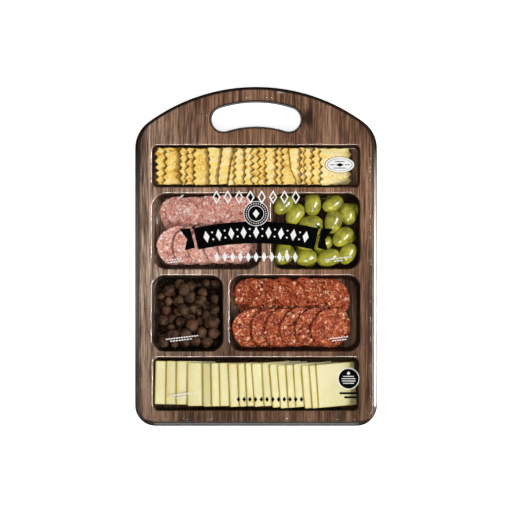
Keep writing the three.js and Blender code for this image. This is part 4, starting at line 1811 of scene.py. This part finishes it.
@dataclass
class CheeseRow:
    """The row of square cheese slices, whose raised edges sink onto the slice before.

    Attributes:
        side: Side of a slice along the row.
        width: Its side across the row.
        thickness: Its thickness.
        tilt: Lift of its left edge, in degrees.
        corner: Radius of its corners.
        most_droop: Most that a raised edge sinks.
        turns: Turn of each slice, in degrees.
    """

    side: float = 43.4 * MM
    width: float = 45.2 * MM
    thickness: float = 2.2 * MM
    tilt: float = 25.0
    corner: float = 1.1 * MM
    most_droop: float = 3.6 * MM
    turns: tuple[float, ...] = (
        -1.5, -1, -0.5, 0, 0.5, 1, 1.5, 2.5, 2.5, 3, 4.5, 3.2, 4.8, 4.8, 3.8, 3.8, 5.2, 5.2, 4.2,
    )

    def slice(self, index: int, droop: float) -> Surface:
        """One slice: a rounded square with a faint bend, whose left edge sinks along a parabola.

        Args:
            index: Which slice.
            droop: How far the left edge sinks.

        Returns:
            The slice, level at the origin.
        """
        half = self.side / 2
        outline = rounded_rectangle(-half, half, -self.width / 2, self.width / 2, self.corner, 5)
        outline = finer(outline, 3 * MM)

        def relief(x: Array, y: Array, side: int) -> Array:
            """A bend of both faces together."""
            sunk = np.clip((-x / half - 0.1) / 0.9, 0, 1) ** 2
            return 0.25 * MM * waves(x, y, 60 * MM, 300 + index) - droop * sunk

        return slab(outline, self.thickness, 14, 0.25 * MM, relief)

    def build(self, finish: Material) -> None:
        """Makes each slice where its CAD node lies. A wider step to the slice before gives more droop.

        Args:
            finish: The cheese's finish.
        """
        nodes = [f"cheese_{number:02d}" for number in range(1, len(self.turns) + 1)]
        places = np.array([middle_of(node) for node in nodes])
        steps = np.diff(places[:, 0], prepend=places[0, 0] - 8 * MM)
        lean = math.radians(self.tilt)
        gaps = steps * math.sin(lean) - self.thickness
        droops = np.clip(0.85 * gaps, 0, self.most_droop)
        for index, (node, turn) in enumerate(zip(nodes, self.turns)):
            made = self.slice(index, float(droops[index])).placed(turning(0, self.tilt, turn), places[index])
            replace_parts(made.to_piece(f"{node}_slice", finish, "cheese"), node)


@dataclass
class CrackerRow:
    """The row of crisp breads, corrugated from end to end so that their ends are saw-edged.

    Attributes:
        count: Number of CAD crackers.
        length: Length of a cracker.
        width: Its width.
        thickness: Its thickness.
        tilt: Lift of its left end, in degrees.
        teeth: Number of corrugations over its width.
        tooth_depth: Depth of the saw teeth.
        corrugation: Height of a corrugation over its middle.
        blisters: Number of blisters on each side.
        tucked: Middle of each cracker tucked in between the others.
        cuts: For each cracker, the CAD ones first: share of the tooth depth, what is broken off its left
            end, how far that end slants and what is broken off its lower corner, in millimetres, and
            how pale it is.
        shade_reach: How far the shade of the next cracker's edge reaches.
    """

    count: int = 15
    length: float = 37.5 * MM
    width: float = 39 * MM
    thickness: float = 2.0 * MM
    tilt: float = 31.0
    teeth: float = 5.35
    tooth_depth: float = 4.0 * MM
    corrugation: float = 0.34 * MM
    blisters: int = 60
    tucked: tuple[float, ...] = (-56.2 * MM, -6.2 * MM, 19.5 * MM, 42.9 * MM, 67.7 * MM)
    cuts: tuple[tuple[float, ...], ...] = (
        (1, 0, 0.3, 0, 0.3), (1, 0.8, -0.6, 0, 0.25), (0.9, 0, 1.2, 0, 0.3), (1, 0, -1, 0, 0.4),
        (0.55, 0, 0.8, 0, 0.8), (0.3, 0, -2.4, 0, 0.75), (0.15, 3, -4.6, 0, 0.8), (0.7, 0, -0.8, 0, 0.65),
        (1.15, 0, 0.5, 0, 0.35), (0.9, 0, 0, 0, 0.55), (1, 0, -0.5, 0, 0.4), (0.06, 4.4, 1.6, 6.4, 0.75),
        (0.9, 2, 1, 0, 0.55), (1.1, 0, -0.8, 0, 0.5), (1, 1, 0.6, 0, 1),
        (1.1, 0, -0.6, 0, 0.3), (0.9, 0, -1.6, 0, 0.7), (1.15, 0, 0.5, 0, 0.35), (1.1, 0, 0.4, 0, 0.4),
        (0.9, 0, 0.5, 0, 0.6),
    )
    shade_reach: float = 1.45 * MM

    def saw(self, y: Array, index: int) -> Array:
        """An even zigzag along the width, whose pitch wanders a little.

        Args:
            y: Places along the width.
            index: Which cracker.

        Returns:
            Shares of the tooth depth, from 0 to 1.
        """
        wander = 0.12 * np.sin(TURN * y / self.width + 2.3 * index)
        share = (y / self.width * self.teeth + 0.37 * index + wander) % 1
        return 1 - np.abs(2 * share - 1)

    def left_edge(self, y: Array, index: int) -> Array:
        """The left end: the saw wave, moved by what is broken off, slanted and wandering a little.

        Args:
            y: Places along the width.
            index: Which cracker.

        Returns:
            Where the left end lies at each of them.
        """
        share, trim, slant, corner, _ = self.cuts[index]
        across = y / (0.5 * self.width)
        teeth = share * self.tooth_depth * (0.5 - self.saw(y, index + 3))
        broken = trim - slant * across + corner * np.clip((-y - 2 * MM) / (12 * MM), 0, 1)
        return -self.length / 2 - teeth + broken * MM + 0.5 * MM * np.sin(1.9 * index - 3 * across)

    def outline(self, index: int) -> Array:
        """The cracker's outline: both ends follow the saw wave, and the long edges wander a little.

        Args:
            index: Which cracker.

        Returns:
            (points, 2) outline, counter-clockwise.
        """
        half_length, half_width = self.length / 2, self.width / 2
        along = np.linspace(-1, 1, 89) * half_width
        across = np.linspace(-1, 1, 33)[1:-1]
        phase = 1.9 * index
        drift = 0.5 * MM * np.sin(3 * along / half_width + phase)
        right_end = half_length + self.tooth_depth * (0.4 - self.saw(along, index)) + drift
        left_end = self.left_edge(-along, index)
        edge = half_width + 0.35 * MM * np.sin(9 * across + phase) - 0.3 * MM
        head = np.interp(-across, (-1, 1), (left_end[0], right_end[-1]))
        foot = np.interp(across, (-1, 1), (left_end[-1], right_end[0]))
        return np.concatenate([
            np.column_stack([right_end, along]), np.column_stack([head, edge]),
            np.column_stack([left_end, -along]), np.column_stack([foot, -edge]),
        ])

    def cracker(self, index: int) -> Surface:
        """One cracker: corrugations, blisters on both sides and a slow warp.

        Args:
            index: Which cracker.

        Returns:
            The cracker, level at the origin, with the value "height" of its relief.
        """
        draw = np.random.default_rng(700 + index)
        spots = draw.uniform(-1, 1, (self.blisters, 2)) * (0.48 * self.length, 0.46 * self.width)
        reach = draw.uniform(0.8, 2.6, self.blisters) * MM
        lift = draw.uniform(0.2, 0.8, self.blisters) * MM

        def fold(x: Array, y: Array) -> Array:
            """Height of the corrugations: higher towards the right, and running a little askew."""
            strength = self.corrugation * (0.35 + 0.65 * np.clip(x / (self.length / 2), 0, 1))
            return strength * np.cos(TURN * (y / self.width * self.teeth + 0.37 * index + 0.012 * x / MM))

        def swell(x: Array, y: Array) -> Array:
            """Height of the blisters."""
            gap = (x[..., None] - spots[:, 0]) ** 2 + (y[..., None] - spots[:, 1]) ** 2
            return (lift * np.exp(-gap / (0.5 * reach**2))).max(-1)

        def relief(x: Array, y: Array, side: int) -> Array:
            """Warp and corrugation of both faces together, and blisters that swell each face outwards."""
            warp = 0.6 * MM * waves(x, y, 40 * MM, 400 + index) + fold(x, y)
            return warp + side * (0.55 * swell(x, y) + 0.2 * MM * waves(x, y, 2.6 * MM, 450 + index, 24))

        made = slab(self.outline(index), self.thickness, 30, 0.45 * MM, relief)
        x, y = made.points[:, 0], made.points[:, 1]
        level = 0.42 + (fold(x, y) + 0.6 * swell(x, y)) / (1.2 * MM)
        made.values["height"] = np.clip(level, 0, 1) * (1 - 0.5 * made.values["rim"])
        return made

    def build(self, finish: Material) -> None:
        """Makes each cracker where its CAD node lies, and tucks a few more between them.

        Args:
            finish: The crisp bread's finish.
        """
        places = [middle_of(f"cracker_{index + 1:02d}") for index in range(self.count)]
        places += [np.array([x, *places[0][1:]]) for x in self.tucked]
        order = np.argsort([place[0] for place in places])
        tilts = self.tilt + 2.6 * np.sin(2.9 * np.arange(len(places)))
        for at, index in enumerate(order):
            rotation = turning(0, tilts[index], 1.2 * math.sin(2.4 * index))
            made = self.cracker(index).placed(rotation, places[index])
            made.values["pale"] = np.full(len(made.points), self.cuts[index][-1])
            made.values["under"] = np.zeros(len(made.points))
            # Painted shadow: each cracker is darkened just left of the next cracker's raised edge, most in
            # its notches.
            if at + 1 < len(order):
                upper = order[at + 1]
                across = made.points[:, 1] - places[upper][1]
                level = math.cos(math.radians(tilts[upper]))
                edge = places[upper][0] + level * self.left_edge(across, upper)
                notch = self.saw(across, upper + 3)
                reach = self.shade_reach * (0.5 + notch)
                shade = np.exp(-((np.clip(edge - made.points[:, 0], 0, None) / reach) ** 2))
                made.values["under"] = shade * (0.3 + 0.7 * notch)
            if index < self.count:
                node = f"cracker_{index + 1:02d}"
                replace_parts(made.to_piece(f"{node}_crisp", finish, "cracker"), node)
            else:
                made.to_piece(f"cracker_tucked_{index - self.count + 1:02d}", finish, "cracker")


# ============================================================ heaps


@dataclass
class OliveHeap:
    """Green olives lying two deep in their pocket.

    Attributes:
        board: The sizes it shares.
        half_length: Half the length of an olive.
        radius: Its radius.
        upper: Place, height and turn of each olive that lies on top, in millimetres and degrees.
        lower: Place of each olive on the floor beneath them, in millimetres.
    """

    board: Board
    half_length: float = 12.5 * MM
    radius: float = 8.9 * MM
    upper: tuple[tuple[float, float, float, float], ...] = (
        (29, 54, 19, 45), (41, 44, 15, 57), (59.5, 54, 18, 85), (80.5, 55, 18, 30), (96, 44.5, 18, -70),
        (81, 36.5, 20, 75), (58, 34, 19, 0), (91, 20.5, 19, 40), (96, 3, 17, 60), (76, -1.5, 18, 17),
        (52.5, -1.5, 18, 5), (28.5, 3.5, 17, 80), (69, 14, 16, 10), (33, 24, 18, 60), (50, 16, 17, -30),
    )
    lower: tuple[Pair, ...] = (
        (29, 56), (60, 57), (83, 55), (97, 47), (58, 31), (34, 22), (70, 12), (93, 19), (78, -0.5),
        (52, 0), (30, 1),
    )

    def olive(self) -> Surface:
        """One olive: a rounded, slightly blunt oval with a dimple where the stem was.

        Returns:
            The olive along X, with the value "scar" in the dimple.
        """
        turn = np.linspace(0.06, TURN / 2 - 0.06, 30)
        along = np.cos(turn)
        radius = np.sin(turn) ** 0.92 * (1 + 0.05 * along)
        dimple = 0.07 * np.exp(-((1 - along) / 0.025))
        profile = np.column_stack([(along - dimple) * self.half_length, radius * self.radius])
        shape = ball(profile, 36)
        scar = np.clip((shape.points[:, 0] / self.half_length - 0.9) / 0.04, 0, 1)
        off_axis = np.hypot(shape.points[:, 1], shape.points[:, 2]) / (0.16 * self.radius)
        shape.values["scar"] = scar * np.clip(1 - off_axis, 0, 1)
        return shape

    def build(self, finish: Material) -> None:
        """Makes all olives as one piece.

        Args:
            finish: The olive's finish.
        """
        pocket = self.board.pockets[PocketName.OLIVES]
        upper = np.array(self.upper)
        draw = np.random.default_rng(21)
        rest = np.full(len(self.lower), pocket.floor + self.radius + 0.3 * MM)
        lower = np.column_stack([np.array(self.lower) * MM, rest])
        places = np.concatenate([upper[:, :3] * MM, lower])
        turns = np.radians(np.concatenate([upper[:, 3], draw.uniform(0, 180, len(lower))]))
        tilts = draw.uniform(-10, 10, len(places))
        rotations = np.stack([
            turning(0, 0, math.degrees(turn)) @ turning(0, float(tilt)) for turn, tilt in zip(turns, tilts)
        ])
        sizes = draw.uniform(0.94, 1.05, (len(places), 1)) * np.ones((1, 3))
        shape = self.olive()
        made = scattered(shape, places, rotations, sizes, {"ripeness": draw.uniform(0, 1, len(places))})
        made.values["scar"] = np.tile(shape.values["scar"], len(places))
        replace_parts(made.to_piece("olive_heap", finish, "olive"), "olives")


@dataclass
class ChocolateHeap:
    """Round chocolate pieces of uneven size, heaped in their pocket.

    Attributes:
        board: The sizes it shares.
        count: Number of pieces.
        smallest: Least radius of a piece.
        largest: Greatest radius.
    """

    board: Board
    count: int = 84
    smallest: float = 4.2 * MM
    largest: float = 6.8 * MM

    def settle(self, radius: Array) -> Array:
        """Places found by dropping the balls: each step moves all down and pushes touching pairs apart.

        Args:
            radius: Radius of each ball.

        Returns:
            (balls, 3) places.
        """
        pocket = self.board.pockets[PocketName.CHOCOLATES]
        draw = np.random.default_rng(8)
        low = np.array([pocket.left + 5.4 * MM, pocket.foot + pocket.lean, pocket.floor])
        high = np.array([pocket.right - pocket.lean, pocket.head - pocket.lean, 60 * MM])
        place = draw.uniform(low + radius[:, None], high - radius[:, None])
        reach = radius[:, None] + radius[None]
        for step in range(420):
            place[:, 2] -= 0.35 * MM if step < 380 else 0
            for _ in range(2):
                gap = place[:, None] - place[None]
                distance = np.linalg.norm(gap, axis=-1) + 1e-9
                overlap = np.clip(reach - distance, 0, None)
                np.fill_diagonal(overlap, 0)
                place += (gap / distance[..., None] * overlap[..., None]).sum(1) * 0.3
                place = np.clip(place, low + radius[:, None], high - radius[:, None])
        return place

    def build(self, finish: Material) -> None:
        """Makes all pieces as one.

        Args:
            finish: The chocolate's finish.
        """
        draw = np.random.default_rng(31)
        radius = draw.uniform(self.smallest, self.largest, self.count)
        places = self.settle(radius)
        turn = np.linspace(0.12, TURN / 2 - 0.12, 18)
        shape = ball(np.column_stack([np.cos(turn), np.sin(turn)]), 24)
        lumps = []
        for seed in range(6):
            x, y, z = shape.points.T
            swell = 1 + 0.08 * waves(x + 0.3 * z, y - 0.4 * z, 1.3, seed + 60)
            lumps.append(Surface(shape.points * swell[:, None], shape.faces))
        rotations = np.stack([turning(*draw.uniform(0, 360, 3)) for _ in places])
        sizes = radius[:, None] * draw.uniform(0.9, 1.06, (self.count, 3))
        tones = draw.uniform(0, 1, self.count)
        parts = []
        for kind, lump in enumerate(lumps):
            chosen = np.arange(kind, self.count, len(lumps))
            own = {"ripeness": tones[chosen]}
            parts.append(scattered(lump, places[chosen], rotations[chosen], sizes[chosen], own))
        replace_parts(Surface.joined(parts).to_piece("chocolate_heap", finish, "chocolate"), "chocolates")


# ============================================================ studio


@dataclass(frozen=True)
class Lamp:
    """One soft rectangular light aimed at the board.

    Attributes:
        name: Its name.
        place: Where it stands.
        size: Its width, level, and its height.
        power: Its power in watts.
        lights: Whether it lights the pieces themselves.
        mirrored: Whether glossy pieces mirror it.
        colour: Its colour, a little warm.
    """

    name: str
    place: tuple[float, float, float]
    size: Pair
    power: float
    lights: bool = True
    mirrored: bool = True
    colour: tuple[float, float, float] = (1.0, 0.985, 0.965)

    def build(self) -> None:
        """Adds the light to the scene."""
        data = bpy.data.lights.new(self.name, "AREA")
        data.shape, data.energy, data.color = "RECTANGLE", self.power, self.colour
        data.size, data.size_y = self.size
        lamp = bpy.data.objects.new(self.name, data)
        lamp.location = self.place
        lamp.rotation_euler = Vector(self.place).to_track_quat("Z", "Y").to_euler()
        lamp.visible_camera = False
        lamp.visible_diffuse, lamp.visible_glossy = self.lights, self.mirrored
        bpy.context.scene.collection.objects.link(lamp)


LAMPS = (
    Lamp("key", (0.95, -0.5, 1.45), (0.32, 0.32), 18.0),
    Lamp("right_strip", (1.2, 0.0, 1.15), (0.44, 0.36), 26.0, lights=False),
    Lamp("foot_strip", (0.0, -1.2, 1.15), (0.44, 0.36), 13.0, lights=False),
    Lamp("overhead", (-0.15, -0.15, 1.9), (1.2, 1.2), 11.0, mirrored=False),
)


@dataclass
class Studio:
    """Floor, camera and lights.

    Attributes:
        view_width: Width of what the camera sees at view_height.
        view_height: Height at which that width is meant.
        lens: Focal length, in millimetres: long, so that the board is seen straight down.
        sensor: Width of the film, in millimetres.
    """

    view_width: float = 536.9 * MM
    view_height: float = 18 * MM
    lens: float = 800.0
    sensor: float = 36.0

    def build_floor(self, finish: Material) -> None:
        """A wide level floor just under the board.

        Args:
            finish: The floor's paint.
        """
        side = np.linspace(-2.5, 2.5, 11)
        x, y = np.meshgrid(side, side)
        mesh = bpy.data.meshes.new("floor")
        points = np.stack([x, y, np.full_like(x, -0.1 * MM)], axis=-1).reshape(-1, 3)
        mesh.from_pydata(points.tolist(), [], grid_quads(11, 11).tolist())
        mesh.materials.append(finish)
        floor = bpy.data.objects.new("floor", mesh)
        bpy.context.scene.collection.objects.link(floor)

    def build_camera(self) -> None:
        """The camera, looking straight down with the handle at the top of the picture."""
        data = bpy.data.cameras.new("camera")
        data.lens, data.sensor_width = self.lens, self.sensor
        data.clip_start, data.clip_end = 0.1, 50
        camera = bpy.data.objects.new("camera", data)
        distance = self.view_width * self.lens / self.sensor
        camera.location = (-0.1 * MM, 0.4 * MM, self.view_height + distance)
        bpy.context.scene.collection.objects.link(camera)
        bpy.context.scene.camera = camera

    def build(self, floor: Material) -> None:
        """Makes the whole studio.

        Args:
            floor: The floor's paint.
        """
        self.build_floor(floor)
        self.build_camera()
        for lamp in LAMPS:
            lamp.build()
        world = bpy.data.worlds.new("studio")
        world.use_nodes = True
        world.node_tree.nodes["Background"].inputs["Color"].default_value = (1.0, 0.99, 0.97, 1)
        world.node_tree.nodes["Background"].inputs["Strength"].default_value = 0.24
        bpy.context.scene.world = world
        bpy.context.scene.view_settings.view_transform = "Standard"


def main() -> None:
    """Builds the board from the tray up, then the studio round it."""
    logging.basicConfig(level=logging.INFO, format="%(name)s %(message)s")
    effects = Effects()
    board = Board()
    FormedTray(board).build(WoodPrint("wood_print", effects).build())
    CrackerRow().build(CrispBread("crisp_bread", effects).build())
    spiced = CuredMeat("spiced_meat", effects).build()
    mild = CuredMeat(
        "mild_meat", effects, fat=tone(252, 236, 230), stain=tone(232, 168, 140), large=0.26, small=0.3,
        lean=(tone(160, 86, 70), tone(214, 146, 130), tone(238, 180, 166), tone(252, 222, 212)),
    ).build()
    SalamiRow("mild_salami_back", 5, -18.0, "mild_salami", 10).build(mild)
    SalamiRow("mild_salami_front", 5, 18.0, "mild_salami", 20).build(mild)
    SalamiRow("spiced_salami_back", 6, -18.0, "spiced_salami", 30).build(spiced)
    SalamiRow("spiced_salami_front", 6, 18.0, "spiced_salami", 40).build(spiced)
    OliveHeap(board).build(OliveSkin("olive_skin", effects).build())
    ChocolateHeap(board).build(ChocolateCoat("chocolate_coat", effects).build())
    CheeseRow().build(SlicedCheese("sliced_cheese", effects).build())
    film = LidFilm(board)
    film.build(ClearFilm("clear_film", effects).build())
    black = Ink("black_ink", effects).build()
    white = Ink("white_ink", effects, deep=tone(250, 250, 250), thin=tone(238, 238, 238)).build()
    Print(film).build(black, white)
    Studio().build(FloorPaint("floor_paint", effects).build())


if __name__ == "__main__":
    main()
